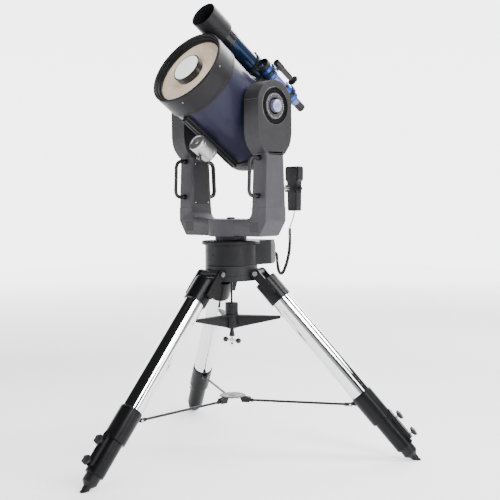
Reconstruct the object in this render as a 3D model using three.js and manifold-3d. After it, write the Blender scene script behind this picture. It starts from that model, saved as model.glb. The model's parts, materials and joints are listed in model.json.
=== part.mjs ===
// A Schmidt-Cassegrain telescope on a fork mount and a folding field tripod.
// Millimetres, +Z up. The optical tube points towards -Y. Every solid is modelled about the
// azimuth axis, and the whole group is then shifted so that the object stands on its box's centre.
import * as THREE from 'three';
import { mergeVertices } from 'three/addons/utils/BufferGeometryUtils.js';
import Module from 'manifold-3d';

const wasm = await Module();
wasm.setup();

// ---- driving dimensions -------------------------------------------------------------------
const DEG = Math.PI / 180;
const GAP = 0.3;
const RIGHT_ANGLE = Math.PI / 2;
const FINE = 30;
const MEDIUM = 20;
const COARSE = 12;
const SMALL = 8;

// Tripod
const FOOT_RADIUS = 689.5;
const PIVOT_RADIUS = 106;
const PIVOT_HEIGHT = 676;
const LEG_LEAN = Math.atan2(FOOT_RADIUS - PIVOT_RADIUS, PIVOT_HEIGHT);
const LEG_LENGTH = Math.hypot(FOOT_RADIUS - PIVOT_RADIUS, PIVOT_HEIGHT);
const LEGS = [
  { name: 'front', azimuth: -90 * DEG },
  { name: 'right', azimuth: 30 * DEG },
  { name: 'left', azimuth: 150 * DEG },
];
const HEAD_RADIUS = 98.8;
const HEAD_BOTTOM = 648;
const HEAD_TOP = 705.5;
const LUG_HALF_WIDTH = 43.6;
const EAR_INNER = 46;
const EAR_OUTER = 58;
const EAR_HALF_WIDTH = 16;
const LEG_PIN_RADIUS = 6;
const BOLT_HEAD_RADIUS = 9;
const BOLT_HEAD_FACE = 66;
const LEG_TUBE_RADIUS = 38;
const LEG_TUBE_BORE = 35.5;
const SOCKET_RADIUS = 43;
const COLLAR_RADIUS = 41;
const SLEEVE_RADIUS = 34;
const EXTENSION_RADIUS = 27;
const COLLAR_TOP = 312;
const COLLAR_STEP = 188;
const SLEEVE_END = 60;
const STRIP_FACE = 44;
const LOCK_KNOB_PLACES = { upper: 162, lower: 86 };
const BRACE_LUG = { offset: -56, along: 302 };
const ROD_RADIUS = 4.5;
const EYE_RADIUS = 7.5;
const PIN_RADIUS = 2.3;
const HUB_HINGE_RADIUS = 58;
const TENSION_ROD_RADIUS = 4;

// Drive base and fork
const BASE_RADIUS = 98;
const BASE_TOP = 797;
const PANEL_HALF_WIDTH = 90;
const PANEL_END = 180;
const PLUG = { x: 40, height: 742 };
const PANEL_WINDOW = { halfWidth: 58, bottom: 721, top: 763 };
const SPINDLE_RADIUS = 20;
const FORK_HALF_WIDTH = 230;
const ARM_THICKNESS = 71.6;
const ARM_INNER = FORK_HALF_WIDTH - ARM_THICKNESS;
const CASTING_WALL = 8;
const ARM_HALF_DEPTH = 55;
const FORK_BOTTOM = 815;
const FORK_FLOOR = 878;
const ARM_SEAM = 921;
const NECK_HEIGHT = 1113;
const ALTITUDE_HEIGHT = 1282;
const HEAD_HALF_DEPTH = 88;

// Optical tube, along its own axis from the altitude axis: +Z forward, +Y up
const TUBE_ALTITUDE = 32.6 * DEG;
const TUBE_FRONT = 261;
const TUBE_END = 225.7;
const TUBE_REAR = -150;
const CORRECTOR_FACE = 233;
const CORRECTOR_BACK = 226.5;
const REAR_FACE = -228;
const MIRROR_PLACE = { radius: 127, back: -180, front: -152 };
const TUBE_RADIUS = 147.5;
const TUBE_WALL = 3;
const CELL_RADIUS = 153;
const SECONDARY_RADIUS = 50;
const GUIDE_HEIGHT = 214;
const GUIDE_RADIUS = 41;
const FINDER_HEIGHT = 202;
const FINDER_LEAN = 37 * DEG;
const FINDER_FORWARD = 35;

// Handset. Its lead hangs and runs into the curly part, which swings down in a loop and back up
// to the control panel. The upper stretch of it goes round with the fork.
const HANDSET = { x: 200, y: 134, bottom: 906, top: 1071, back: 14, front: 16 };
const LEAD_DIAMETER = 3.8;
const CURL_DIAMETER = 12.5;
const LEAD_ROUTE = [
  [200, 134, 905.7], [199, 133, 893], [196, 131, 878], [191, 128, 862], [187, 126, 850.3],
];
const UPPER_CURL_ROUTE = [
  [186.4, 125.8, 850], [184, 126, 840], [182.6, 127.4, 825], [181.4, 129, 812], [180.3, 130.4, 801],
];
const LOWER_CURL_ROUTE = [
  [180, 131, 800], [177, 133.5, 783], [171, 137.5, 760], [162, 142.5, 738], [149, 149, 714],
  [132, 158, 692], [113, 169, 674], [93, 181, 665], [73, 193, 666], [57, 202, 678],
  [47, 209, 697], [41, 213, 716], [40, 213, 730], [40, 208, 739], [40, 200, 742], [40, 192.4, 742],
];

// ---- finishes -----------------------------------------------------------------------------
const SATIN_BLACK = { color: 0x1d1c1f, roughness: 0.45, metalness: 0.4 };
const CASTING_GREY = { color: 0x4b4952, roughness: 0.5, metalness: 0.5 };
const HEAD_GREY = { color: 0x3a393e, roughness: 0.45, metalness: 0.5 };
const CHROME = { color: 0xe6e7ea, roughness: 0.08, metalness: 1 };
const STEEL = { color: 0xb9bbc0, roughness: 0.25, metalness: 1 };
const TUBE_BLUE = { color: 0x2b3166, roughness: 0.3, metalness: 0.6 };
const FINDER_BLUE = { color: 0x2f66c8, roughness: 0.25, metalness: 0.7 };
const BLACK_PLASTIC = { color: 0x141416, roughness: 0.6, metalness: 0 };
const RUBBER = { color: 0x18181a, roughness: 0.8, metalness: 0 };
const MIRROR = { color: 0xf4f4f6, roughness: 0.02, metalness: 1 };
const GLASS = { color: 0xe9e2cf, roughness: 0.05, metalness: 0, transparent: true, opacity: 0.35 };

// ---- solids -------------------------------------------------------------------------------
function withoutSlivers(index) {
  const kept = [];
  for (let i = 0; i < index.length; i += 3) {
    const [a, b, c] = [index[i], index[i + 1], index[i + 2]];
    if (a !== b && b !== c && c !== a) kept.push(a, b, c);
  }
  return kept;
}

function signedVolume(positions, index) {
  const [a, b, c] = [new THREE.Vector3(), new THREE.Vector3(), new THREE.Vector3()];
  let sum = 0;
  for (let i = 0; i < index.length; i += 3) {
    a.fromArray(positions, 3 * index[i]);
    b.fromArray(positions, 3 * index[i + 1]);
    c.fromArray(positions, 3 * index[i + 2]);
    sum += a.dot(b.cross(c));
  }
  return sum;
}

// A closed geometry as a solid that can be joined and cut, with its faces turned outwards.
function solidOf(geometry) {
  const bare = geometry.clone();
  bare.deleteAttribute('normal');
  bare.deleteAttribute('uv');
  const merged = mergeVertices(bare, 1e-3);
  const positions = merged.attributes.position.array;
  const index = withoutSlivers(Array.from(merged.index.array));
  if (signedVolume(positions, index) < 0) index.reverse();
  return new wasm.Manifold(new wasm.Mesh({
    numProp: 3,
    vertProperties: new Float32Array(positions),
    triVerts: new Uint32Array(index),
  }));
}

function geometryOf(solid) {
  const mesh = solid.getMesh();
  const geometry = new THREE.BufferGeometry();
  geometry.setAttribute('position', new THREE.BufferAttribute(mesh.vertProperties, 3));
  geometry.setIndex(new THREE.BufferAttribute(mesh.triVerts, 1));
  geometry.computeVertexNormals();
  return geometry;
}

// One named sub-part: the shapes joined, less the shapes cut away.
function addPart(parent, name, finish, shapes, cuts = []) {
  let solid = solidOf(shapes[0]);
  for (const shape of shapes.slice(1)) solid = solid.add(solidOf(shape));
  for (const shape of cuts) solid = solid.subtract(solidOf(shape));
  const mesh = new THREE.Mesh(geometryOf(solid), new THREE.MeshStandardMaterial(finish));
  mesh.name = name;
  parent.add(mesh);
  return mesh;
}

function group(parent, place = [0, 0, 0], turn = [0, 0, 0]) {
  const made = new THREE.Group();
  made.position.set(...place);
  made.rotation.set(...turn);
  parent.add(made);
  return made;
}

// ---- shapes -------------------------------------------------------------------------------
function box([x0, x1], [y0, y1], [z0, z1]) {
  const shape = new THREE.BoxGeometry(x1 - x0, y1 - y0, z1 - z0);
  return shape.translate((x0 + x1) / 2, (y0 + y1) / 2, (z0 + z1) / 2);
}

// A turned piece about Z from [radius, height] points: it starts and ends on the axis.
function turned(profile, segments = MEDIUM) {
  const points = profile.map(([radius, height]) => new THREE.Vector2(radius, height));
  return new THREE.LatheGeometry(points, segments).rotateX(RIGHT_ANGLE);
}

// A turned ring about Z: its [radius, height] outline closes on itself.
function turnedRing(profile, segments = MEDIUM) {
  return turned([...profile, profile[0]], segments);
}

function rod(radius, z0, z1, segments = MEDIUM) {
  return turned([[0, z0], [radius, z0], [radius, z1], [0, z1]], segments);
}

function tube(outer, inner, z0, z1, segments = MEDIUM) {
  return turnedRing([[inner, z0], [outer, z0], [outer, z1], [inner, z1]], segments);
}

// An outline of [x, y] points drawn along Z.
function prism(outline, z0, z1) {
  const shape = new THREE.Shape(outline.map(([x, y]) => new THREE.Vector2(x, y)));
  const made = new THREE.ExtrudeGeometry(shape, { depth: z1 - z0, bevelEnabled: false });
  return made.translate(0, 0, z0);
}

// An outline of [y, z] points drawn along X.
function prismAlongX(outline, x0, x1) {
  return prism(outline, x0, x1).applyMatrix4(new THREE.Matrix4().set(
    0, 0, 1, 0,
    1, 0, 0, 0,
    0, 1, 0, 0,
    0, 0, 0, 1,
  ));
}

// An outline of [x, z] points drawn along Y.
function prismAlongY(outline, y0, y1) {
  return prism(outline, -y1, -y0).rotateX(RIGHT_ANGLE);
}

const alongX = (shape) => shape.rotateY(RIGHT_ANGLE);
const alongY = (shape) => shape.rotateX(-RIGHT_ANGLE);

// Points on an arc about [u, v], from one angle to another.
function arc([u, v], radius, from, to, steps) {
  return Array.from({ length: steps + 1 }, (_, i) => {
    const angle = from + ((to - from) * i) / steps;
    return [u + radius * Math.cos(angle), v + radius * Math.sin(angle)];
  });
}

// A bar with a round end at each of two points in one plane.
function roundEnded([u0, v0], [u1, v1], radius, steps = 6) {
  const heading = Math.atan2(v1 - v0, u1 - u0);
  return [
    ...arc([u1, v1], radius, heading - RIGHT_ANGLE, heading + RIGHT_ANGLE, steps),
    ...arc([u0, v0], radius, heading + RIGHT_ANGLE, heading + 3 * RIGHT_ANGLE, steps),
  ];
}

// A round cord of one diameter along a smooth route.
function cord(route, diameter, steps, sides) {
  const path = new THREE.CatmullRomCurve3(route.map((point) => new THREE.Vector3(...point)));
  const outline = arc([0, 0], diameter / 2, 0, 2 * Math.PI, sides).slice(0, sides);
  const section = new THREE.Shape(outline.map(([x, y]) => new THREE.Vector2(x, y)));
  return new THREE.ExtrudeGeometry(section, { steps, extrudePath: path });
}

// ---- tripod -------------------------------------------------------------------------------
function addTripodHead(parent) {
  const drum = turned([
    [0, HEAD_BOTTOM], [HEAD_RADIUS - 2, HEAD_BOTTOM], [HEAD_RADIUS, HEAD_BOTTOM + 2],
    [HEAD_RADIUS, HEAD_TOP - 1], [HEAD_RADIUS - 1, HEAD_TOP], [0, HEAD_TOP],
  ], FINE);
  const lugs = [];
  const holes = [rod(TENSION_ROD_RADIUS + GAP, HEAD_BOTTOM - 5, HEAD_TOP + 5, COARSE)];
  for (const { azimuth } of LEGS) {
    const lug = roundEnded([PIVOT_RADIUS - 25, PIVOT_HEIGHT], [PIVOT_RADIUS, PIVOT_HEIGHT], 14);
    lugs.push(prismAlongY(lug, -LUG_HALF_WIDTH, LUG_HALF_WIDTH).rotateZ(azimuth));
    const hole = alongY(rod(LEG_PIN_RADIUS + 1, -70, 70, COARSE));
    holes.push(hole.translate(PIVOT_RADIUS, 0, PIVOT_HEIGHT).rotateZ(azimuth));
  }
  addPart(parent, 'tripod_head', SATIN_BLACK, [drum, ...lugs], holes);
}

function addYoke(leg, name) {
  const [socketBottom, socketTop] = [762, 857];
  const ear = roundEnded([0, socketBottom + 40], [0, LEG_LENGTH], EAR_HALF_WIDTH);
  const ears = [prismAlongY(ear, EAR_INNER, EAR_OUTER), prismAlongY(ear, -EAR_OUTER, -EAR_INNER)];
  const cheekSpan = [socketBottom + 24, socketTop - 4];
  const cheeks = box([-EAR_HALF_WIDTH, EAR_HALF_WIDTH], [-EAR_OUTER, EAR_OUTER], cheekSpan);
  const pin = alongY(turned([
    [0, -BOLT_HEAD_FACE], [BOLT_HEAD_RADIUS, -BOLT_HEAD_FACE], [BOLT_HEAD_RADIUS, -EAR_OUTER],
    [LEG_PIN_RADIUS, -EAR_OUTER], [LEG_PIN_RADIUS, EAR_OUTER], [BOLT_HEAD_RADIUS, EAR_OUTER],
    [BOLT_HEAD_RADIUS, BOLT_HEAD_FACE], [0, BOLT_HEAD_FACE],
  ], COARSE)).translate(0, 0, LEG_LENGTH);
  const bore = rod(LEG_TUBE_RADIUS + GAP, socketBottom - 5, socketTop + 5, MEDIUM);
  const socket = rod(SOCKET_RADIUS, socketBottom, socketTop, MEDIUM);
  addPart(leg, `leg_yoke_${name}`, SATIN_BLACK, [socket, cheeks, ...ears, pin], [bore]);
}

function addCollar(leg, name) {
  const bevel = 6;
  const body = turned([
    [0, SLEEVE_END], [SLEEVE_RADIUS, SLEEVE_END], [SLEEVE_RADIUS, COLLAR_STEP],
    [COLLAR_RADIUS, COLLAR_STEP], [COLLAR_RADIUS, COLLAR_TOP - bevel],
    [COLLAR_RADIUS - bevel / 2, COLLAR_TOP], [0, COLLAR_TOP],
  ], MEDIUM);
  const strip = roundEnded([0, 85], [0, 192], 13);
  const lockStrip = prismAlongX(strip, SLEEVE_RADIUS - 6, STRIP_FACE);
  const { offset, along } = BRACE_LUG;
  const ear = roundEnded([offset + 18, along - 6], [offset, along], 6, 6);
  const ears = [prismAlongY(ear, 5, 9), prismAlongY(ear, -9, -5)];
  const hingePin = alongY(rod(PIN_RADIUS, -9, 9, SMALL)).translate(offset, 0, along);
  const seat = rod(LEG_TUBE_RADIUS + GAP, COLLAR_STEP + 2, COLLAR_TOP + 5, MEDIUM);
  const slide = rod(EXTENSION_RADIUS + 0.6, SLEEVE_END - 5, COLLAR_STEP + 5, MEDIUM);
  addPart(leg, `leg_collar_${name}`, SATIN_BLACK, [body, lockStrip, ...ears, hingePin],
    [seat, slide]);
}

// The inner leg slides in the collar and carries the foot, which is flat where it meets the floor.
function addExtension(leg, name) {
  const [top, hollowFrom, hollowRadius, footRadius] = [560, 66, 24, 13.5];
  const body = turned([
    [0, -18], [footRadius, -18], [footRadius, 18], [EXTENSION_RADIUS, 32],
    [EXTENSION_RADIUS, top], [0, top],
  ], MEDIUM);
  const hollow = rod(hollowRadius, hollowFrom, top + 5, MEDIUM);
  const floor = box([-90, 90], [-90, 90], [-90, 0]).rotateY(LEG_LEAN);
  addPart(leg, `leg_extension_${name}`, SATIN_BLACK, [body], [hollow, floor]);
}

function addLockKnob(leg, name, place, along) {
  const [lobes, stepsPerLobe, radius, swell] = [5, 6, 17, 1.2];
  const count = lobes * stepsPerLobe;
  const outline = Array.from({ length: count }, (_, i) => {
    const angle = (2 * Math.PI * i) / count;
    const reach = radius + swell * Math.cos(lobes * angle);
    return [reach * Math.cos(angle), reach * Math.sin(angle)];
  });
  const [capBottom, capTop] = [54, 65.5];
  const cap = prismAlongX(outline, capBottom, capTop);
  const stem = alongX(rod(4, STRIP_FACE + GAP, capBottom + 1, SMALL));
  const knob = [cap, stem].map((shape) => shape.translate(0, 0, along));
  addPart(leg, `lock_knob_${name}_${place}`, BLACK_PLASTIC, knob);
}

// The brace rod reaches from the collar's lug to the centre hub, level with both hinges.
function addBraceRod(parent, leg) {
  const { offset, along } = BRACE_LUG;
  const outer = FOOT_RADIUS + offset * Math.cos(LEG_LEAN) - along * Math.sin(LEG_LEAN);
  const height = offset * Math.sin(LEG_LEAN) + along * Math.cos(LEG_LEAN);
  const bar = alongX(rod(ROD_RADIUS, HUB_HINGE_RADIUS + 4, outer - 4, SMALL));
  const eyes = [outer, HUB_HINGE_RADIUS].map(
    (radius) => alongY(rod(EYE_RADIUS, -4.5, 4.5, COARSE)).translate(radius, 0, 0));
  const holes = [outer, HUB_HINGE_RADIUS].map(
    (radius) => alongY(rod(PIN_RADIUS + 0.4, -6, 6, SMALL)).translate(radius, 0, 0));
  const side = group(parent, [0, 0, height], [0, 0, leg.azimuth]);
  addPart(side, `brace_rod_${leg.name}`, SATIN_BLACK, [bar, ...eyes], holes);
  return height;
}

function addBraceHub(parent, hingeHeight) {
  const [plateBottom, plateTop, plateRadius] = [hingeHeight + 13, hingeHeight + 18, 50];
  const plate = turned([
    [0, plateBottom], [plateRadius - 1, plateBottom], [plateRadius, plateBottom + 2],
    [plateRadius - 5, plateTop], [0, plateTop],
  ], MEDIUM);
  const ears = [];
  for (const { azimuth } of LEGS) {
    const ear = [
      [30, plateBottom + 1], [38, hingeHeight - 8], [66, hingeHeight - 8],
      [70, hingeHeight - 3], [70, plateBottom - 2], [48, plateBottom + 1],
    ];
    ears.push(prismAlongY(ear, 5.2, 10).rotateZ(azimuth));
    ears.push(prismAlongY(ear, -10, -5.2).rotateZ(azimuth));
  }
  addPart(parent, 'brace_hub', SATIN_BLACK, [plate, ...ears]);
}

function addSpreader(parent) {
  const [hubTop, flangeTop, flangeBottom, hubBottom, reach] = [562, 516, 511, 462, 190];
  const hub = turned([
    [0, hubBottom], [14, hubBottom], [24, hubBottom + 6], [25.5, flangeTop], [24.5, flangeTop],
    [24, hubTop], [0, hubTop],
  ], MEDIUM);
  const arms = [];
  for (const { azimuth } of LEGS) {
    const flange = prism([[18, -13], [reach, -6], [reach, 6], [18, 13]], flangeBottom, flangeTop);
    const web = prismAlongY([
      [18, hubBottom + 4], [reach, flangeBottom - 6], [reach, flangeBottom + 1],
      [18, flangeBottom + 1],
    ], -3, 3);
    arms.push(flange.rotateZ(azimuth), web.rotateZ(azimuth));
  }
  const bore = rod(TENSION_ROD_RADIUS + 0.4, hubBottom - 5, hubTop + 5, COARSE);
  addPart(parent, 'leg_spreader', SATIN_BLACK, [hub, ...arms], [bore]);
}

// The tension rod hangs from the head and ends in a domed nut below the T-handle.
function addTensionRod(parent) {
  const [nutBottom, nutTop, top] = [391, 404, 700];
  addPart(parent, 'tension_rod', STEEL, [turned([
    [0, nutBottom], [4, nutBottom + 1], [7, nutBottom + 6], [7, nutTop],
    [TENSION_ROD_RADIUS, nutTop], [TENSION_ROD_RADIUS, top], [0, top],
  ], COARSE)]);
}

function addTensionKnob(parent) {
  const [bottom, sleeveBottom, top, barHeight, ballPlace] = [409, 434, 461.6, 419, 34];
  const sleeve = turned([
    [0, bottom], [8, bottom], [8, sleeveBottom], [11, sleeveBottom], [11, sleeveBottom + 5],
    [8, top], [0, top],
  ], MEDIUM);
  const bar = alongX(rod(3.5, -ballPlace, ballPlace, SMALL)).translate(0, 0, barHeight);
  const balls = [-1, 1].map(
    (side) => new THREE.SphereGeometry(10.5, SMALL, 6).translate(side * ballPlace, 0, barHeight));
  const bore = rod(TENSION_ROD_RADIUS + 0.4, bottom - 20, top + 5, COARSE);
  addPart(parent, 'tension_knob', BLACK_PLASTIC, [sleeve, bar, ...balls], [bore]);
}

function addTripod(parent) {
  addTripodHead(parent);
  let hingeHeight = 0;
  for (const leg of LEGS) {
    const side = group(parent, [0, 0, 0], [0, 0, leg.azimuth]);
    const frame = group(side, [FOOT_RADIUS, 0, 0], [0, -LEG_LEAN, 0]);
    addYoke(frame, leg.name);
    addPart(frame, `leg_tube_${leg.name}`, CHROME,
      [tube(LEG_TUBE_RADIUS, LEG_TUBE_BORE, COLLAR_STEP + 2 + GAP, 850, MEDIUM)]);
    addCollar(frame, leg.name);
    addExtension(frame, leg.name);
    for (const [place, along] of Object.entries(LOCK_KNOB_PLACES)) {
      addLockKnob(frame, leg.name, place, along);
    }
    hingeHeight = addBraceRod(parent, leg);
  }
  addBraceHub(parent, hingeHeight);
  addSpreader(parent);
  addTensionRod(parent);
  addTensionKnob(parent);
}

// ---- drive base ---------------------------------------------------------------------------
function panelBlock(inset, bottom) {
  const [taperStart, endHalf] = [125, 65];
  const plan = [
    [-PANEL_HALF_WIDTH + inset, 0], [PANEL_HALF_WIDTH - inset, 0],
    [PANEL_HALF_WIDTH - inset, taperStart], [endHalf - inset, PANEL_END - inset],
    [-endHalf + inset, PANEL_END - inset], [-PANEL_HALF_WIDTH + inset, taperStart],
  ];
  const side = [
    [-5, bottom], [PANEL_END - 20 - inset, bottom], [PANEL_END + 1 - inset, bottom + 13],
    [PANEL_END + 1 - inset, BASE_TOP - 33 - inset / 2], [PANEL_END - 22 - inset, BASE_TOP - inset],
    [-5, BASE_TOP - inset],
  ];
  const upright = solidOf(prism(plan, bottom, BASE_TOP - inset));
  return geometryOf(upright.intersect(solidOf(prismAlongX(side, -100, 100))));
}

function addDriveBase(parent) {
  const bottom = HEAD_TOP + GAP;
  const drum = turned([
    [0, bottom], [BASE_RADIUS, bottom], [BASE_RADIUS, 781], [111, 784], [111, 795],
    [109, BASE_TOP], [0, BASE_TOP],
  ], FINE);
  const inside = rod(88, bottom - 5, 775, MEDIUM);
  const insidePanel = panelBlock(8, bottom + 8);
  const { halfWidth, bottom: low, top: high } = PANEL_WINDOW;
  const window = box([-halfWidth, halfWidth], [PANEL_END - 12, PANEL_END + 5], [low, high]);
  const spindleHole = rod(SPINDLE_RADIUS + 0.5, 770, BASE_TOP + 5, MEDIUM);
  addPart(parent, 'drive_base', SATIN_BLACK, [drum, panelBlock(0, bottom)],
    [inside, insidePanel, window, spindleHole]);
  const plate = box([-halfWidth + GAP, halfWidth - GAP], [PANEL_END - 7, PANEL_END + 1.5],
    [low + GAP, high - GAP]);
  const socket = alongY(rod(8, PANEL_END, PANEL_END + 12, COARSE)).translate(PLUG.x, 0, PLUG.height);
  addPart(parent, 'control_panel', BLACK_PLASTIC, [plate, socket]);
}

// ---- fork ---------------------------------------------------------------------------------
function addForkBase(parent) {
  const [chamferWidth, chamferHeight, innerRadius] = [38, 60, 30];
  const floorArc = arc([ARM_INNER - innerRadius, FORK_FLOOR + innerRadius], innerRadius,
    -RIGHT_ANGLE, 0, 5);
  const rightSide = [
    [FORK_HALF_WIDTH - chamferWidth, FORK_BOTTOM],
    [FORK_HALF_WIDTH, FORK_BOTTOM + chamferHeight], [FORK_HALF_WIDTH, ARM_SEAM],
    [ARM_INNER, ARM_SEAM], ...floorArc.reverse(),
  ];
  const leftSide = rightSide.map(([x, z]) => [-x, z]).reverse();
  const yoke = prismAlongY([...rightSide, ...leftSide], -ARM_HALF_DEPTH, ARM_HALF_DEPTH);
  const boss = rod(85, FORK_BOTTOM, FORK_FLOOR - 0.2, MEDIUM);
  const neck = rod(60, BASE_TOP + 1.5, FORK_BOTTOM + 2, MEDIUM);
  const spindle = rod(SPINDLE_RADIUS, 725, BASE_TOP + 5, MEDIUM);
  const [inner, outer] = [ARM_INNER + CASTING_WALL, FORK_HALF_WIDTH - CASTING_WALL];
  const depth = ARM_HALF_DEPTH - CASTING_WALL;
  const hollows = [[inner, outer], [-outer, -inner]].map(
    (span) => box(span, [-depth, depth], [FORK_FLOOR + 6, ARM_SEAM + 5]));
  addPart(parent, 'fork_base', CASTING_GREY, [yoke, boss, neck, spindle], hollows);
}

function armOutline(inset) {
  const top = HEAD_HALF_DEPTH + 4 - inset;
  const [shoulder, neckHalf] = [105, 45];
  const foot = ARM_SEAM + GAP;
  const rightSide = [
    [ARM_HALF_DEPTH - inset, foot], [neckHalf + 1 - inset, NECK_HEIGHT - 4],
    [neckHalf + 5 - inset, NECK_HEIGHT],
    [HEAD_HALF_DEPTH - 12 - inset, ALTITUDE_HEIGHT - shoulder - 34],
    [HEAD_HALF_DEPTH - inset, ALTITUDE_HEIGHT - shoulder + 8],
    [HEAD_HALF_DEPTH - inset, ALTITUDE_HEIGHT + 20],
  ];
  const crown = arc([0, ALTITUDE_HEIGHT], top, 17 * DEG, 163 * DEG, 14);
  return [...rightSide, ...crown, ...rightSide.map(([y, z]) => [-y, z]).reverse()];
}

// Each arm is a hollow casting, open at its foot, with a bearing bore for the trunnion.
function addArm(parent, name, side) {
  const [inner, outer] = [side * ARM_INNER, side * FORK_HALF_WIDTH];
  const wall = CASTING_WALL;
  const faces = [inner, outer].sort((a, b) => a - b);
  const body = prismAlongX(armOutline(0), ...faces);
  const hollow = prismAlongX(
    [...armOutline(wall).slice(1, -1), [-ARM_HALF_DEPTH + wall, 900], [ARM_HALF_DEPTH - wall, 900]],
    faces[0] + wall, faces[1] - wall);
  const bore = alongX(rod(30, -20, 20, MEDIUM)).translate(inner, 0, ALTITUDE_HEIGHT);
  const cuts = [hollow, bore];
  const dial = alongX(tube(64, 50, -6, 6, MEDIUM)).translate(outer, 0, ALTITUDE_HEIGHT);
  cuts.push(dial);
  if (side > 0) {
    const well = alongX(rod(24, -8, 10, MEDIUM)).translate(outer, 0, ALTITUDE_HEIGHT);
    cuts.push(well);
  }
  addPart(parent, `fork_arm_${name}`, HEAD_GREY, [body], cuts);
}

// A grab handle: a bowed bar on two feet, standing off the arm's front or rear edge.
function addHandle(parent, name, side, end) {
  const [low, high, standOff, radius] = [962, 1098, 50, 6.5];
  const lean = (z) => ARM_HALF_DEPTH - (9 * (z - ARM_SEAM)) / (NECK_HEIGHT - ARM_SEAM);
  const foot = (z) => lean(z) + GAP;
  const route = [
    [foot(low), low], [foot(low) + 24, low], [foot(low) + 43, low + 8], [foot(low) + standOff, low + 26],
    [foot(low) + standOff, (low + high) / 2], [foot(high) + standOff, high - 26],
    [foot(high) + 43, high - 8], [foot(high) + 24, high], [foot(high), high],
  ];
  const middle = side * (ARM_INNER + ARM_THICKNESS / 2);
  const bar = cord(route.map(([y, z]) => [middle, end * y, z]), 2 * radius, 20, SMALL);
  addPart(parent, `grab_handle_${name}`, BLACK_PLASTIC, [bar]);
}

function addFork(parent) {
  addForkBase(parent);
  addArm(parent, 'right', 1);
  addArm(parent, 'left', -1);
  addHandle(parent, 'right_front', 1, -1);
  addHandle(parent, 'left_front', -1, -1);
  addHandle(parent, 'left_rear', -1, 1);
  const hub = group(parent, [FORK_HALF_WIDTH, 0, ALTITUDE_HEIGHT]);
  addPart(hub, 'altitude_knob', STEEL, [alongX(turned([
    [0, -7.5], [23, -7.5], [23, 12], [21, 15], [0, 15],
  ], MEDIUM))]);
}

// ---- optical tube -------------------------------------------------------------------------
function addOptics(ota) {
  const seat = CORRECTOR_FACE + GAP;
  addPart(ota, 'front_cell', SATIN_BLACK, [turnedRing([
    [CELL_RADIUS, 171], [CELL_RADIUS, TUBE_FRONT - 3], [CELL_RADIUS - 3, TUBE_FRONT],
    [144, TUBE_FRONT], [131, seat + 3], [131, seat], [136.5, seat], [136.5, TUBE_END + GAP],
    [TUBE_RADIUS + GAP, TUBE_END + GAP], [TUBE_RADIUS + GAP, 171],
  ], FINE)]);
  addPart(ota, 'main_tube', TUBE_BLUE, [
    tube(TUBE_RADIUS, TUBE_RADIUS - TUBE_WALL, TUBE_REAR, TUBE_END, FINE)]);
  addPart(ota, 'corrector_plate', GLASS, [
    tube(136, SECONDARY_RADIUS + GAP, CORRECTOR_BACK, CORRECTOR_FACE, FINE)]);
  addPart(ota, 'secondary_mirror', SATIN_BLACK, [turned([
    [0, 205], [SECONDARY_RADIUS, 205], [SECONDARY_RADIUS, seat], [57, seat], [57, 257],
    [55, 259], [0, 259],
  ])]);
  addPart(ota, 'rear_cell', CASTING_GREY, [turnedRing([
    [TUBE_RADIUS + GAP, TUBE_REAR + 18], [152, TUBE_REAR + 18], [152, TUBE_REAR - 4],
    [150, TUBE_REAR - 7], [150, -180], [134, -203], [118, -218], [60, REAR_FACE], [24.9, REAR_FACE],
    [24.9, REAR_FACE + 10], [110, REAR_FACE + 20], [126, -196], [140, -174], [140, TUBE_REAR - GAP],
    [TUBE_RADIUS + GAP, TUBE_REAR - GAP],
  ], FINE)]);
  addPart(ota, 'baffle_tube', BLACK_PLASTIC, [tube(24.5, 22.5, REAR_FACE + 1, 80)]);
  const { radius, back, front } = MIRROR_PLACE;
  addPart(ota, 'primary_mirror', MIRROR, [tube(radius, 25.3, back, front, FINE)]);
  addPart(ota, 'visual_back', SATIN_BLACK, [turnedRing([
    [16, REAR_FACE - GAP], [30, REAR_FACE - GAP], [30, REAR_FACE - 16], [27, REAR_FACE - 18],
    [27, REAR_FACE - 31], [16, REAR_FACE - 31],
  ])]);
  const focuser = group(ota, [72, -52, 0]);
  addPart(focuser, 'focus_knob', RUBBER, [rod(14, REAR_FACE - 28, REAR_FACE - 2.5)]);
}

function addTrunnions(ota) {
  for (const [name, side] of [['right', 1], ['left', -1]]) {
    const inner = TUBE_RADIUS - 3;
    const pad = box(side > 0 ? [inner, 155] : [-155, -inner], [-38, 38], [-38, 38]);
    const shaftFaces = side > 0 ? [150, ARM_INNER + 16] : [-ARM_INNER - 16, -150];
    const shaft = alongX(rod(29.4, ...shaftFaces, MEDIUM));
    const around = rod(TUBE_RADIUS + GAP, -60, 60, FINE);
    addPart(ota, `trunnion_${name}`, HEAD_GREY, [pad, shaft], [around]);
  }
}

function addBalance(ota) {
  const [railTop, railBottom, railHalf] = [-TUBE_RADIUS - GAP, -168, 12];
  addPart(ota, 'balance_rail', SATIN_BLACK, [
    box([-railHalf, railHalf], [railBottom, railTop], [TUBE_REAR + 18.5, 145])]);
  const weight = rod(34, -3.5, 79.5, MEDIUM).translate(0, -196, 0);
  const slot = box([-railHalf - 0.4, railHalf + 0.4], [railBottom - GAP, -100], [-50, 120]);
  addPart(ota, 'counterweight', STEEL, [weight], [slot]);
}

function addGuideScope(ota) {
  const guide = group(ota, [0, GUIDE_HEIGHT, 0]);
  addPart(guide, 'guide_scope', TUBE_BLUE, [turnedRing([
    [48.5, 293], [51, 293], [51, 190], [49, 186], [43, 186], [43, 141], [41, 139], [41, -95],
    [30, -99], [30, -112], [24.6, -112], [24.6, -97], [38, -92], [38, 150], [40, 160], [40, 192],
    [48.5, 197],
  ], MEDIUM)]);
  addPart(guide, 'guide_focuser', SATIN_BLACK, [
    turned([[0, -165], [16, -165], [16, -150], [24, -148], [24, -60], [0, -60]], MEDIUM)],
  [rod(20, -140, -50, MEDIUM)]);
  addGuideMount(ota);
}

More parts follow.
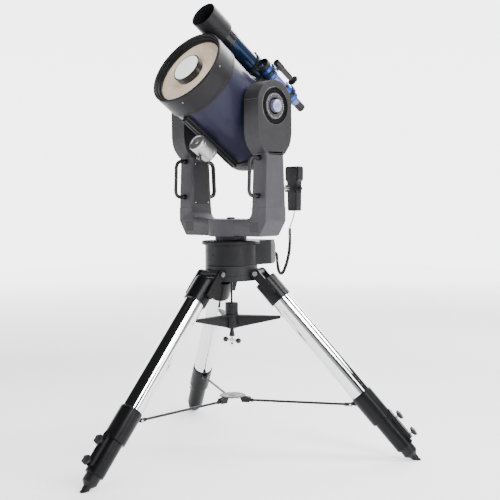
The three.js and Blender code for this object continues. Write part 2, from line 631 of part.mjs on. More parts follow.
// Two rings hold the guide scope on a long plate, curved below to sit on the main tube.
function addGuideMount(ota) {
  const ringPlaces = [-70, -4];
  const ringWidth = 16;
  const shapes = [box([-22, 22], [TUBE_RADIUS - 3, GUIDE_HEIGHT - 48], [-120, 120])];
  for (const z of ringPlaces) {
    const ring = tube(48, GUIDE_RADIUS + GAP, z, z + ringWidth);
    shapes.push(ring.translate(0, GUIDE_HEIGHT, 0));
    shapes.push(box([-14, 14], [GUIDE_HEIGHT - 50, GUIDE_HEIGHT - 44], [z, z + ringWidth]));
  }
  addPart(ota, 'guide_mount', SATIN_BLACK, shapes, [rod(TUBE_RADIUS + GAP, -200, 200, FINE)]);
}

// The small finder stands beside the guide scope on a stalk, with its focusing wheel behind it.
function addGuideFinder(ota) {
  const [x, y] = [30, 292];
  const scope = turned([
    [0, -187], [10, -187], [12, -176], [12, -126], [14, -122], [14, -82], [0, -82],
  ], COARSE).translate(x, y, 0);
  const wheel = rod(22, -205, -196).translate(x, y, 0);
  const link = rod(8, -197, -186, COARSE).translate(x, y, 0);
  const stalk = box([14, 24], [GUIDE_HEIGHT + 30, y], [-110, -90]);
  const saddle = tube(46, GUIDE_RADIUS + GAP, -94.5, -80).translate(0, GUIDE_HEIGHT, 0);
  const guide = rod(GUIDE_RADIUS + GAP, -180, -60).translate(0, GUIDE_HEIGHT, 0);
  addPart(ota, 'guide_finder', BLACK_PLASTIC, [scope, wheel, link, stalk, saddle], [guide]);
}

function addFinder(ota) {
  const finder = group(ota, [0, 0, 0], [0, 0, -FINDER_LEAN]);
  const scope = group(finder, [0, 0, FINDER_FORWARD]);
  addPart(scope, 'finder_scope', FINDER_BLUE, [turned([
    [0, 8], [24, 8], [25, 15], [29, 15], [30, 2], [27, -4], [27, -50], [22, -56], [22, -118],
    [27, -124], [27, -186], [18, -192], [18, -214], [16, -216], [16, -254], [0, -254],
  ]).translate(0, FINDER_HEIGHT, 0)]);
  const bore = rod(27 + GAP, -300, 100).translate(0, FINDER_HEIGHT, 0);
  const flatsRadius = (TUBE_RADIUS + GAP) / Math.cos(Math.PI / FINE);
  const body = rod(flatsRadius, -200, 200, FINE);
  const shapes = [box([-13, 13], [TUBE_RADIUS - 2, TUBE_RADIUS + 12], [TUBE_REAR + 18.5, 17])];
  for (const z of [1, -130]) {
    shapes.push(rod(33, z, z + 14).translate(0, FINDER_HEIGHT, 0));
    shapes.push(box([-9, 9], [TUBE_RADIUS + 4, FINDER_HEIGHT - 25], [z, z + 14]));
  }
  addPart(finder, 'finder_bracket', SATIN_BLACK, shapes, [bore, body]);
}

function addOpticalTube(parent) {
  const ota = group(parent, [0, 0, ALTITUDE_HEIGHT], [RIGHT_ANGLE - TUBE_ALTITUDE, 0, 0]);
  addOptics(ota);
  addTrunnions(ota);
  addBalance(ota);
  addGuideScope(ota);
  addGuideFinder(ota);
  addFinder(ota);
}

// ---- handset and its cord -----------------------------------------------------------------
function addHandset(parent) {
  const { x, y, bottom, top } = HANDSET;
  const outline = [
    [-22, bottom], [22, bottom], [24, bottom + 4], [25, bottom + 92], [33, bottom + 112],
    [34, top - 12], [26, top], [-26, top], [-34, top - 12], [-33, bottom + 112],
    [-25, bottom + 92], [-24, bottom + 4],
  ];
  const body = prismAlongY(outline, -HANDSET.back, HANDSET.front).translate(x, y, 0);
  const pocket = box([x - 17, x + 17], [y + 13, y + 20], [bottom + 14, bottom + 80]);
  addPart(parent, 'handset', BLACK_PLASTIC, [body], [pocket]);
  addPart(parent, 'keypad', RUBBER, [
    box([x - 16.5, x + 16.5], [y + 14.3, y + 17.5], [bottom + 14.5, bottom + 79.5])]);
  const clamp = box([x - 29, x + 29], [y - 19, y - 14 - GAP], [bottom + 70, bottom + 96]);
  const cheeks = [-29, 25.4].map(
    (dx) => box([x + dx, x + dx + 3.6], [y - 19, y + 8], [bottom + 70, bottom + 92]));
  const stalk = box([x - 7, x + 7], [ARM_HALF_DEPTH - 2, y - 16], [bottom + 76, bottom + 90]);
  const arm = prismAlongX(armOutline(-GAP), ARM_INNER - GAP, FORK_HALF_WIDTH + GAP);
  addPart(parent, 'handset_bracket', CASTING_GREY, [clamp, ...cheeks, stalk], [arm]);
}

function addCord(parent) {
  addPart(parent, 'cord_lead', RUBBER, [cord(LEAD_ROUTE, LEAD_DIAMETER, 8, SMALL)]);
  addPart(parent, 'cord_curl_upper', RUBBER, [cord(UPPER_CURL_ROUTE, CURL_DIAMETER, 3, SMALL)]);
  addPart(parent, 'cord_curl_lower', RUBBER, [cord(LOWER_CURL_ROUTE, CURL_DIAMETER, 16, SMALL)]);
}

// ---- the whole object ---------------------------------------------------------------------
const telescope = new THREE.Group();
const standing = group(telescope, [0, FOOT_RADIUS / 4, 0]);
addTripod(standing);
addDriveBase(standing);
addFork(standing);
addOpticalTube(standing);
addHandset(standing);
addCord(standing);

export default telescope;
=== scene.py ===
"""Looks for a Schmidt-Cassegrain telescope on a fork mount and a folding field tripod.

Shapes are drawn in millimetres in a local frame (the stand, a leg or the optical tube) and then
placed in the row frame, in metres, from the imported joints.
"""
import json
import math

import bmesh
import bpy
from mathutils import Matrix, Vector


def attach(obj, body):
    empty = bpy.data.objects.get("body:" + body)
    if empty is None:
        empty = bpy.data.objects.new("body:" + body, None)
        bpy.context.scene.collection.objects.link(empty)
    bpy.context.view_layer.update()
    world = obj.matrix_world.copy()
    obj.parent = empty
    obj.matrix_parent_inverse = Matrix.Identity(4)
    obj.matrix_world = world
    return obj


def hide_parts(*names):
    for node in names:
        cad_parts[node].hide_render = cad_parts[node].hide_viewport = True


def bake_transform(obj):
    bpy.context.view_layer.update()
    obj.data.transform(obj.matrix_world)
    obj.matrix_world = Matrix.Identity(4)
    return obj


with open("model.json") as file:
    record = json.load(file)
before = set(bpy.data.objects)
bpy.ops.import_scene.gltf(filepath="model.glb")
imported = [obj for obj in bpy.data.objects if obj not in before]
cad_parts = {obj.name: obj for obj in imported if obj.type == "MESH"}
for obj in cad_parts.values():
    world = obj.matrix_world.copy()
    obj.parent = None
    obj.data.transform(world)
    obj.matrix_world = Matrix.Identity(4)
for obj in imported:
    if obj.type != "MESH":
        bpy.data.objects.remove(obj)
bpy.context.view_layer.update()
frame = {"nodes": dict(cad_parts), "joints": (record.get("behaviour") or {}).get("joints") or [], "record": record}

MM = 0.001
SCENE = bpy.context.scene
JOINTS = {joint["name"]: joint for joint in frame["joints"]}
LEGS = ("front", "right", "left")
SIDES = (("left", -1), ("right", 1))


# ---- local frames ----
FINDER_LEAN = 37
FINDER_HEIGHT = 202
FINDER_FORWARD = 35
GUIDE_HEIGHT = 214
OTA_BODY = "optical_tube"


def shift(x, y, z):
    return Matrix.Translation((x, y, z))


def spin(degrees, axis):
    return Matrix.Rotation(math.radians(degrees), 4, axis)


def placed(origin, x, y, z):
    """A frame in millimetres at an origin in metres, with these three axes."""
    turn = Matrix((x, y, z)).transposed().to_4x4()
    return Matrix.Translation(origin) @ turn @ Matrix.Scale(MM, 4)


def leg_frame(leg):
    """+Z up along the leg from its foot, +X outwards and up, +Y round the stand."""
    down = Vector(JOINTS[f"leg_slide_{leg}"]["axis"]).normalized()
    around = Vector(JOINTS[f"leg_fold_{leg}"]["axis"]).normalized()
    pivot = Vector(JOINTS[f"leg_fold_{leg}"]["pos_m"])
    foot = pivot + down * (pivot.z / -down.z)
    return placed(foot, around.cross(-down), around, -down)


X, Y, Z = Vector((1, 0, 0)), Vector((0, 1, 0)), Vector((0, 0, 1))
AZIMUTH_AXIS = Vector(JOINTS["azimuth"]["pos_m"])
STAND = placed(Vector((AZIMUTH_AXIS.x, AZIMUTH_AXIS.y, 0)), X, Y, Z)
ALTITUDE_POINT = Vector(JOINTS["altitude"]["pos_m"])
FORWARD = Vector(JOINTS["mirror_focus"]["axis"]).normalized()
TUBE = placed(ALTITUDE_POINT, X, FORWARD.cross(X), FORWARD)
FINDER = TUBE @ spin(-FINDER_LEAN, "Z") @ shift(0, FINDER_HEIGHT, FINDER_FORWARD)
GUIDE = TUBE @ shift(0, GUIDE_HEIGHT, 0)


# ---- camera ----
CAMERA_AZIMUTH = 45
CAMERA_DISTANCE = 3397
CAMERA_HEIGHT = 937
CAMERA_HEADING = 43.8
CAMERA_PITCH = -2.99
CAMERA_ROLL = -0.51
FOCAL_LENGTH = 64.9
SENSOR_WIDTH = 36


def add_camera():
    camera = bpy.data.objects.new("camera", bpy.data.cameras.new("camera"))
    SCENE.collection.objects.link(camera)
    camera.data.lens = FOCAL_LENGTH
    camera.data.sensor_width = SENSOR_WIDTH
    place = spin(CAMERA_AZIMUTH, "Z") @ Vector((0, -CAMERA_DISTANCE, CAMERA_HEIGHT))
    look = spin(CAMERA_HEADING, "Z") @ spin(90 + CAMERA_PITCH, "X") @ spin(CAMERA_ROLL, "Z")
    camera.matrix_world = Matrix.Translation(STAND @ place) @ look
    SCENE.camera = camera


add_camera()


# ---- materials ----
EVEN = (1, 1, 1)
WHITE = (1, 1, 1, 1)


def nodes_of(material):
    tree = material.node_tree
    return tree.nodes, tree.links, tree.nodes["Principled BSDF"]


def noise(material, scale, detail=3.0, stretch=EVEN):
    """A noise value in the object's own place, with its own stretch along each axis."""
    nodes, links, _ = nodes_of(material)
    place = nodes.new("ShaderNodeTexCoord")
    mapping = nodes.new("ShaderNodeMapping")
    mapping.inputs["Scale"].default_value = stretch
    texture = nodes.new("ShaderNodeTexNoise")
    texture.inputs["Scale"].default_value = scale
    texture.inputs["Detail"].default_value = detail
    links.new(place.outputs["Object"], mapping.inputs["Vector"])
    links.new(mapping.outputs["Vector"], texture.inputs["Vector"])
    return texture.outputs["Fac"]


def ranged(material, value, low, high, start=0.3, end=0.7):
    """A value's stretch from start to end, spread from low to high and held there beyond it."""
    nodes, links, _ = nodes_of(material)
    node = nodes.new("ShaderNodeMapRange")
    node.inputs["From Min"].default_value = start
    node.inputs["From Max"].default_value = end
    node.inputs["To Min"].default_value = low
    node.inputs["To Max"].default_value = high
    links.new(value, node.inputs["Value"])
    return node.outputs["Result"]


def mixed(material, factor, first, second):
    """Two colours, each a tuple or another node's output, mixed by a factor."""
    nodes, links, _ = nodes_of(material)
    node = nodes.new("ShaderNodeMix")
    node.data_type = "RGBA"
    links.new(factor, node.inputs["Factor"])
    for socket, value in ((node.inputs[6], first), (node.inputs[7], second)):
        if isinstance(value, tuple):
            socket.default_value = (*value, 1)
        else:
            links.new(value, socket)
    return node.outputs[2]


def bump(material, value, strength, distance):
    nodes, links, shader = nodes_of(material)
    node = nodes.new("ShaderNodeBump")
    node.inputs["Strength"].default_value = strength
    node.inputs["Distance"].default_value = distance
    links.new(value, node.inputs["Height"])
    links.new(node.outputs["Normal"], shader.inputs["Normal"])


def lighter(colour, share):
    return tuple(min(1.0, channel * share) for channel in colour)


def finish(name, colour, roughness, metallic=0.0, grain=900, relief=0.1, wear=1.6, coat=0.0,
           spread=0.12, stretch=EVEN, specular=0.35):
    """A surface with mottled colour, uneven gloss, a fine grain and paler worn edges."""
    material = bpy.data.materials.new(name)
    material.use_nodes = True
    nodes, links, shader = nodes_of(material)
    shader.inputs["Metallic"].default_value = metallic
    shader.inputs["Specular IOR Level"].default_value = specular
    shader.inputs["Coat Weight"].default_value = coat
    shader.inputs["Coat Roughness"].default_value = 0.08
    patches = ranged(material, noise(material, 14, 4), 0, 1)
    base = mixed(material, patches, lighter(colour, 1 - spread), lighter(colour, 1 + spread))
    geometry = nodes.new("ShaderNodeNewGeometry")
    edges = ranged(material, geometry.outputs["Pointiness"], 0, 0.7, 0.52, 0.62)
    links.new(mixed(material, edges, base, lighter(colour, wear)), shader.inputs["Base Color"])
    gloss = noise(material, 45, 5, stretch)
    links.new(ranged(material, gloss, roughness * 0.92, roughness * 1.1), shader.inputs["Roughness"])
    bump(material, noise(material, grain, 2, stretch), relief, 0.0004)
    return material


def brushed(name, colour, roughness, streaks):
    """Bare metal with fine streaks along one direction."""
    return finish(name, colour, roughness, 1.0, 900, 0.008, 1.05, 0.0, 0.04, streaks)


def glossy_tube(name, colour, highlight, roughness, metal=0.55):
    """Metallic lacquer: a dark ground with a brighter flake, under a clear coat."""
    material = finish(name, colour, roughness, metal, 2600, 0.04, 1.3, 0.6, 0.1, EVEN, 0.25)
    nodes, links, shader = nodes_of(material)
    weight = nodes.new("ShaderNodeLayerWeight")
    weight.inputs["Blend"].default_value = 0.35
    ground = shader.inputs["Base Color"].links[0].from_socket
    flake = ranged(material, noise(material, 3200, 1), 0, 0.35, 0.45, 0.75)
    links.new(mixed(material, flake, ground, highlight), shader.inputs["Base Color"])
    links.new(ranged(material, weight.outputs["Facing"], 0.1, 0.25, 0, 1), shader.inputs["Coat Weight"])
    return material


def tinted_glass_with_painted_reflection(name):
    """The corrector as an opaque surface: its warm cream is painted reflection of bright light on the glass, with
    the coating's faint pink and green cast drifting across it.
    """
    material = bpy.data.materials.new(name)
    material.use_nodes = True
    nodes, links, shader = nodes_of(material)
    drift = ranged(material, noise(material, 5, 1), 0, 1, 0.35, 0.65)
    # Painted reflection: the pale cream stands in for bright light reflected off the clear glass, and the faint
    # pink and green drift between the two creams is the coating's tint.
    painted_reflection_tint = mixed(material, drift, (0.80, 0.62, 0.47), (0.84, 0.74, 0.57))
    links.new(painted_reflection_tint, shader.inputs["Base Color"])
    shader.inputs["Coat Weight"].default_value = 1
    shader.inputs["Coat Roughness"].default_value = 0.03
    links.new(ranged(material, noise(material, 60), 0.18, 0.3), shader.inputs["Roughness"])
    bump(material, noise(material, 30, 1), 0.02, 0.0005)
    return material


FORK_PAINT = finish("fork_paint", (0.036, 0.034, 0.04), 0.5, 0.1, 1100, 0.22, 1.6, specular=0.3)
ARM_PAINT = finish("arm_paint", (0.016, 0.0152, 0.0175), 0.46, 0.1, 1100, 0.2, 1.8, specular=0.3)
SATIN_BLACK = finish("satin_black", (0.007, 0.007, 0.008), 0.4, 0, 1000, 0.18, 2.4, specular=0.18)
COLLAR_BLACK = finish("collar_black", (0.0025, 0.0025, 0.003), 0.3, 0, 1000, 0.1, 2.0, specular=0.14)
STEEL_BLACK = finish("steel_black", (0.006, 0.006, 0.007), 0.36, 0, 1300, 0.12, 2.4, specular=0.2)
GLOSS_BLACK = finish("gloss_black", (0.004, 0.004, 0.005), 0.22, 0, 1500, 0.06, 2.4, 0.2, specular=0.3)
FLAT_BLACK = finish("flat_black", (0.003, 0.003, 0.003), 0.8, 0, 1500, 0.25, 1.5, specular=0.1)
BLACK_PLASTIC = finish("black_plastic", (0.008, 0.008, 0.009), 0.42, 0, 2200, 0.3, 1.8, specular=0.25)
KEY_RUBBER = finish("key_rubber", (0.03, 0.03, 0.033), 0.65, 0.0, 2600, 0.3, 1.4)
CORD_RUBBER = finish("cord_rubber", (0.006, 0.007, 0.008), 0.36, 0, 1800, 0.15, 1.5, specular=0.25)
CHROME = finish("leg_chrome", (0.8, 0.805, 0.82), 0.07, 1.0, 300, 0.012, 1.02, 0.0, 0.02)
BRIGHT_STEEL = brushed("bright_steel", (0.6, 0.6, 0.62), 0.26, (1, 1, 12))
WEIGHT_STEEL = brushed("weight_steel", (0.45, 0.445, 0.45), 0.38, EVEN)
DULL_STEEL = brushed("dull_steel", (0.2, 0.2, 0.21), 0.3, EVEN)
SILVER = brushed("silver_aluminium", (0.78, 0.78, 0.8), 0.2, (1, 12, 1))
KNOB_LILAC = finish("knob_lilac", (0.3, 0.3, 0.46), 0.34, 0.6, 900, 0.01, 1.2, 0, 0.04)
TUBE_BLUE = glossy_tube("tube_blue", (0.008, 0.008, 0.022), (0.022, 0.022, 0.055), 0.46, 0.3)
GUIDE_BLUE = glossy_tube("guide_blue", (0.005, 0.01, 0.035), (0.03, 0.1, 0.18), 0.2)
FINDER_BLUE = glossy_tube("finder_blue", (0.012, 0.06, 0.28), (0.08, 0.25, 0.7), 0.22)
FINDER_LILAC = glossy_tube("finder_lilac", (0.1, 0.11, 0.3), (0.3, 0.32, 0.6), 0.26)
HUB_MAUVE = finish("hub_mauve", (0.05, 0.046, 0.05), 0.4, 0.3, 900, 0.15)
RIM_PAINT = finish("rim_paint", (0.07, 0.07, 0.075), 0.3, 0.9, 900, 0.03, 1.1, 0, 0.05)
# The corrector plate is an opaque surface whose pale cream is painted reflection, tinted by its coating.
CORRECTOR = tinted_glass_with_painted_reflection("corrector_tint_and_painted_reflection")
MIRROR = finish("mirror_silver", (0.93, 0.93, 0.95), 0.03, 1.0, 200, 0.005, 1.0, 0.0, 0.01)
PALE_DISC = finish("pale_disc", (0.98, 0.96, 1.0), 0.3, 0.0, 900, 0.05, 1.0, 0.4, 0.02)
WHITE_MARK = finish("white_mark", (0.75, 0.75, 0.77), 0.5, 0.0, 900, 0.05, 1.0)
SCREEN = finish("display_screen", (0.05, 0.07, 0.06), 0.12, 0.0, 900, 0.01, 1.0, 1.0)
LENS_GLASS = finish("lens_glass", (0.01, 0.012, 0.03), 0.05, 0.0, 900, 0.005, 1.0, 1.0, 0.1, specular=0.6)
RED_LENS = finish("red_lens", (0.5, 0.02, 0.02), 0.15, 0.0, 900, 0.01, 1.0, 1.0)


# The CAD's slots, each with its own material first and then the others that belong to it.
SLOT_MATERIALS = {
    "fork_paint": [FORK_PAINT],
    "arm_paint": [ARM_PAINT, RIM_PAINT],
    "satin_black": [SATIN_BLACK, COLLAR_BLACK, FLAT_BLACK, PALE_DISC, LENS_GLASS],
    "steel_black": [STEEL_BLACK, HUB_MAUVE],
    "leg_chrome": [CHROME],
    "bright_steel": [BRIGHT_STEEL, WEIGHT_STEEL, DULL_STEEL, SILVER, KNOB_LILAC, WHITE_MARK],
    "tube_blue": [TUBE_BLUE, GUIDE_BLUE],
    "scope_blue": [FINDER_BLUE, FINDER_LILAC],
    "black_plastic": [BLACK_PLASTIC, GLOSS_BLACK, SCREEN, RED_LENS],
    "key_rubber": [KEY_RUBBER],
    "cord_rubber": [CORD_RUBBER],
    "corrector_glass": [CORRECTOR],
    "mirror_silver": [MIRROR],
}


# ---- shapes, in millimetres ----
def lathe(profile, segments=96):
    """A turned shape about Z. It is a ring if no point is on the axis."""
    shape = bmesh.new()
    rings = []
    for radius, height in profile:
        if radius == 0:
            rings.append([shape.verts.new((0, 0, height))])
            continue
        turns = [2 * math.pi * i / segments for i in range(segments)]
        rings.append([shape.verts.new((radius * math.cos(a), radius * math.sin(a), height))
                      for a in turns])
    pairs = list(zip(rings, rings[1:]))
    if all(len(ring) > 1 for ring in rings):
        pairs.append((rings[-1], rings[0]))
    for low, high in pairs:
        for i in range(segments):
            j = (i + 1) % segments
            corners = [low[i % len(low)], low[j % len(low)], high[j % len(high)], high[i % len(high)]]
            unique = list(dict.fromkeys(corners))
            if len(unique) > 2:
                shape.faces.new(unique)
    return shape


def rod(radius, low, high, segments=48):
    return lathe([(0, low), (radius, low), (radius, high), (0, high)], segments)


def ring(outer, inner, low, high, segments=96):
    return lathe([(inner, low), (outer, low), (outer, high), (inner, high)], segments)


def loft(sections):
    """A closed shape through sections of equal numbers of points."""
    shape = bmesh.new()
    rings = [[shape.verts.new(point) for point in section] for section in sections]
    for low, high in zip(rings, rings[1:]):
        for i in range(len(low)):
            j = (i + 1) % len(low)
            shape.faces.new((low[i], low[j], high[j], high[i]))
    shape.faces.new(rings[0][::-1])
    shape.faces.new(rings[-1])
    return shape


def prism(outline, low, high):
    """An outline of (x, y) points drawn along Z."""
    shape = bmesh.new()
    bottom = [shape.verts.new((x, y, low)) for x, y in outline]
    top = [shape.verts.new((x, y, high)) for x, y in outline]
    shape.faces.new(bottom[::-1])
    shape.faces.new(top)
    for i in range(len(outline)):
        j = (i + 1) % len(outline)
        shape.faces.new((bottom[i], bottom[j], top[j], top[i]))
    return shape


def block(x, y, z):
    return prism([(x[0], y[0]), (x[1], y[0]), (x[1], y[1]), (x[0], y[1])], *z)


def moved(shape, matrix):
    bmesh.ops.transform(shape, matrix=matrix, verts=shape.verts)
    return shape


def at(shape, x=0, y=0, z=0):
    return moved(shape, shift(x, y, z))


def turned(shape, degrees, axis="Z"):
    return moved(shape, spin(degrees, axis))


def along_x(shape):
    return turned(shape, 90, "Y")


def along_y(shape):
    return turned(shape, -90, "X")


def prism_x(outline, low, high):
    """An outline of (y, z) points drawn along X."""
    return moved(prism(outline, low, high), Matrix((Z, X, Y)).to_4x4())


def prism_y(outline, low, high):
    """An outline of (x, z) points drawn along Y."""
    return turned(prism(outline, -high, -low), 90, "X")


def arc(centre, radius, start, end, steps):
    """Points on an arc, with its angles in degrees."""
    angles = [math.radians(start + (end - start) * i / steps) for i in range(steps + 1)]
    return [(centre[0] + radius * math.cos(a), centre[1] + radius * math.sin(a)) for a in angles]


def round_ended(first, second, radius, steps=16):
    """A strip's outline between two points, with a half circle round each."""
    heading = math.degrees(math.atan2(second[1] - first[1], second[0] - first[0]))
    return (arc(second, radius, heading - 90, heading + 90, steps)
            + arc(first, radius, heading + 90, heading + 270, steps))


def rounded_box(half_width, half_height, radius, steps=6):
    corners = ((1, 1, 0), (-1, 1, 90), (-1, -1, 180), (1, -1, 270))
    return [point for side, end, start in corners for point in arc(
        (side * (half_width - radius), end * (half_height - radius)), radius, start, start + 90, steps)]


def lobed(radius, depth, lobes, steps):
    """A closed outline whose radius rises and falls, for grips and knurls."""
    angles = [2 * math.pi * i / steps for i in range(steps)]
    reaches = [radius + depth * math.cos(lobes * angle) for angle in angles]
    return [(reach * math.cos(a), reach * math.sin(a)) for reach, a in zip(reaches, angles)]


def sweep(path, radius, sides=16, squeeze=1.0):
    """A tube along a path of points, with flat ends. Its section is as high as squeeze says."""
    points = [Vector(point) for point in path]
    turns = [2 * math.pi * i / sides for i in range(sides)]
    ends = [points[0], *points, points[-1]]
    tangents = [(after - before).normalized() for before, after in zip(ends, ends[2:])]
    normal = tangents[0].orthogonal().normalized()
    sections = []
    for point, tangent in zip(points, tangents):
        normal = (normal - tangent * normal.dot(tangent)).normalized()
        other = tangent.cross(normal) * squeeze
        sections.append([point + radius * (normal * math.cos(a) + other * math.sin(a)) for a in turns])
    return loft(sections)


def smooth_path(route, steps):
    """Points on a Catmull-Rom curve through a given route."""
    points = [Vector(point) for point in route]
    points = [2 * points[0] - points[1], *points, 2 * points[-1] - points[-2]]
    path = []
    for before, first, second, after in zip(points, points[1:], points[2:], points[3:]):
        for i in range(steps):
            t = i / steps
            path.append(0.5 * (2 * first + (second - before) * t
                        + (2 * before - 5 * first + 4 * second - after) * t ** 2
                        + (3 * first - before - 3 * second + after) * t ** 3))
    return path + [points[-2]]


# ---- pieces ----
BEVEL_ANGLE = 32
SHARP_ANGLE = 42


def as_object(shape, name):
    bmesh.ops.recalc_face_normals(shape, faces=shape.faces)
    mesh = bpy.data.meshes.new(name)
    shape.to_mesh(mesh)
    shape.free()
    made = bpy.data.objects.new(name, mesh)
    SCENE.collection.objects.link(made)
    return made


def apply_modifiers(made):
    graph = bpy.context.evaluated_depsgraph_get()
    mesh = bpy.data.meshes.new_from_object(made.evaluated_get(graph))
    made.modifiers.clear()
    made.data = mesh


def paint(made, material):
    made.data.materials.clear()
    made.data.materials.append(material)


def combine(made, shapes, operation, place=None):
    """Joins shapes to an object, cuts them from it or keeps what both have, one at a time."""
    for shape in shapes:
        tool = as_object(shape, "tool")
        if place:
            tool.data.transform(place)
        modifier = made.modifiers.new(operation, "BOOLEAN")
        modifier.operation = operation
        modifier.solver = "EXACT"
        modifier.object = tool
        apply_modifiers(made)
        bpy.data.objects.remove(tool)


def piece(name, body, material, shapes, cuts=(), place=None, bevel=0.6, node=None):
    """One visible piece: shapes joined, less the cuts, with its edges eased, riding on a body.

    It is drawn in the optical tube's frame if it rides there, or else in the stand's, unless a place is given.
    """
    made = as_object(shapes[0], name)
    combine(made, shapes[1:], "UNION")
    combine(made, cuts, "DIFFERENCE")
    made.data.transform(place or (TUBE if body == OTA_BODY else STAND))
    if bevel:
        modifier = made.modifiers.new("bevel", "BEVEL")
        modifier.width = bevel * MM
        modifier.segments = 2
        modifier.limit_method = "ANGLE"
        modifier.angle_limit = math.radians(BEVEL_ANGLE)
        modifier.harden_normals = False
        apply_modifiers(made)
    mesh = made.data
    mesh.polygons.foreach_set("use_smooth", [True] * len(mesh.polygons))
    mesh.set_sharp_from_angle(angle=math.radians(SHARP_ANGLE))
    weighted = made.modifiers.new("weighted", "WEIGHTED_NORMAL")
    weighted.keep_sharp = True
    apply_modifiers(made)
    paint(made, material)
    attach(made, body)
    if node:
        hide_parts(node)
    return made


def gathered(shapes):
    """Separate shapes as one shape, with nothing joined or cut."""
    whole = bmesh.new()
    for shape in shapes:
        mesh = bpy.data.meshes.new("part")
        shape.to_mesh(mesh)
        whole.from_mesh(mesh)
        shape.free()
    return whole


def screw_heads(name, body, places, radius, height, place=None, material=BRIGHT_STEEL):
    """Socket-head screws as one piece: each place is the matrix of a screw, its head along +Z."""
    socket = height * 0.45
    profile = [(0, 0), (radius, 0), (radius, height * 0.8), (radius * 0.85, height), (radius * 0.5, height),
               (radius * 0.45, socket), (0, socket)]
    heads = gathered([moved(lathe(profile, 24), where) for where in places])
    piece(name, body, material, [heads], place=place, bevel=0)


def around(count, radius, height, start=0.0, tilt=0.0):
    """Matrices spaced round Z: facing up, or outwards when tilt is 90."""
    return [spin(start + 360 * i / count, "Z") @ shift(radius, 0, height) @ spin(tilt, "Y")
            for i in range(count)]


# ---- handset cord ----
LEAD_ROUTE = [(200, 134, 905.7), (199, 133, 893), (196, 131, 878), (191, 128, 862), (187, 126, 850.3)]
CURL_ROUTE = [
    (186.4, 125.8, 850), (184, 126, 840), (182.6, 127.4, 825), (181.4, 129, 812), (180, 131, 800),
    (177, 133.5, 783), (171, 137.5, 760), (162, 142.5, 738), (149, 149, 714), (132, 158, 692),
    (113, 169, 674), (93, 181, 665), (73, 193, 666), (57, 202, 678), (47, 209, 697),
    (41, 213, 716), (40, 213, 730), (40, 208, 739), (40, 200, 742), (40, 192.4, 742),
]
CORD_DIAMETER = 3.8
CURL_DIAMETER = 12.5
CURL_PITCH = 4.3
POINTS_PER_TURN = 12
EASE_POINTS = 3 * POINTS_PER_TURN


def path_length(path):
    return sum((b - a).length for a, b in zip(path, path[1:]))


def curl_along(route, radius, pitch):
    """A helix of this radius and pitch round a smooth line, easing in and out at its ends."""
    centre = smooth_path(route, 40)
    length = path_length(centre)
    turns = round(length / pitch)
    count = turns * POINTS_PER_TURN
    tangent = (centre[1] - centre[0]).normalized()
    normal = tangent.orthogonal().normalized()
    path, travelled, index, angle = [], 0.0, 0, 0.0
    for i in range(count + 1):
        wanted = length * i / count
        while index < len(centre) - 2 and travelled + (centre[index + 1] - centre[index]).length < wanted:
            travelled += (centre[index + 1] - centre[index]).length
            index += 1
        step = centre[index + 1] - centre[index]
        point = centre[index] + step * min(1, (wanted - travelled) / step.length)
        tangent = step.normalized()
        normal = (normal - tangent * normal.dot(tangent)).normalized()
        ease = min(1, i / EASE_POINTS, (count - i) / EASE_POINTS)
        angle += ease * 2 * math.pi / POINTS_PER_TURN
        out = normal * math.cos(angle) + tangent.cross(normal) * math.sin(angle)
        path.append(point + out * radius * ease)
    return path


def add_cord():
    """The curly lead from the handset, swept as one tube."""
    lead = smooth_path(LEAD_ROUTE, 6)
    curl = curl_along(CURL_ROUTE, (CURL_DIAMETER - CORD_DIAMETER) / 2, CURL_PITCH)
    path = lead[:-1] + curl
    cord = as_object(sweep(path, CORD_DIAMETER / 2, 10), "handset_cord")
    cord.data.materials.append(CORD_RUBBER)
    cord.data.transform(STAND)
    cord.data.polygons.foreach_set("use_smooth", [True] * len(cord.data.polygons))
    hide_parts("cord_lead", "cord_curl_upper", "cord_curl_lower")
    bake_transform(cord)


add_cord()


# ---- the CAD nodes that stay ----
for subpart in frame["record"]["subparts"]:
    paint(frame["nodes"][subpart["node"]], SLOT_MATERIALS[subpart["material_slot"]][0])


# ---- tripod ----
FOOT_RADIUS = 689.5
PIVOT_RADIUS, PIVOT_HEIGHT = 106, 676
LEG_LENGTH = math.hypot(FOOT_RADIUS - PIVOT_RADIUS, PIVOT_HEIGHT)
LEG_LEAN = math.atan2(FOOT_RADIUS - PIVOT_RADIUS, PIVOT_HEIGHT)
LEG_AZIMUTHS = {"front": -90, "right": 30, "left": 150}
LUG_OFFSET, LUG_ALONG = -56, 302
LUG_RADIUS = FOOT_RADIUS + LUG_OFFSET * math.cos(LEG_LEAN) - LUG_ALONG * math.sin(LEG_LEAN)
HINGE_HEIGHT = LUG_OFFSET * math.sin(LEG_LEAN) + LUG_ALONG * math.cos(LEG_LEAN)
HUB_HINGE_RADIUS = 58
CLEAR_OF_LEG = 38.3
KNOB_PLACES = {"upper": 162, "lower": 86}
T_HANDLE_HEIGHT = 419


def add_tripod_head():
    drum = lathe([(0, 648), (97.5, 648), (98.8, 650), (98.8, 668), (98, 668.6), (98, 670),
                  (98.8, 670.6), (98.8, 703.5), (97.6, 705.2), (0, 705.2)], 128)
    lugs, holes = [], [rod(4.6, 640, 710, 32)]
    for azimuth in LEG_AZIMUTHS.values():
        outline = round_ended((78, PIVOT_HEIGHT), (PIVOT_RADIUS, PIVOT_HEIGHT), 14)
        lugs.append(turned(prism_y(outline, -43.6, 43.6), azimuth))
        hole = at(along_y(rod(7, -70, 70, 32)), PIVOT_RADIUS, 0, PIVOT_HEIGHT)
        holes.append(turned(hole, azimuth))
    piece("tripod_head_casting", "stand", SATIN_BLACK, [drum, *lugs], holes, bevel=1.2,
          node="tripod_head")


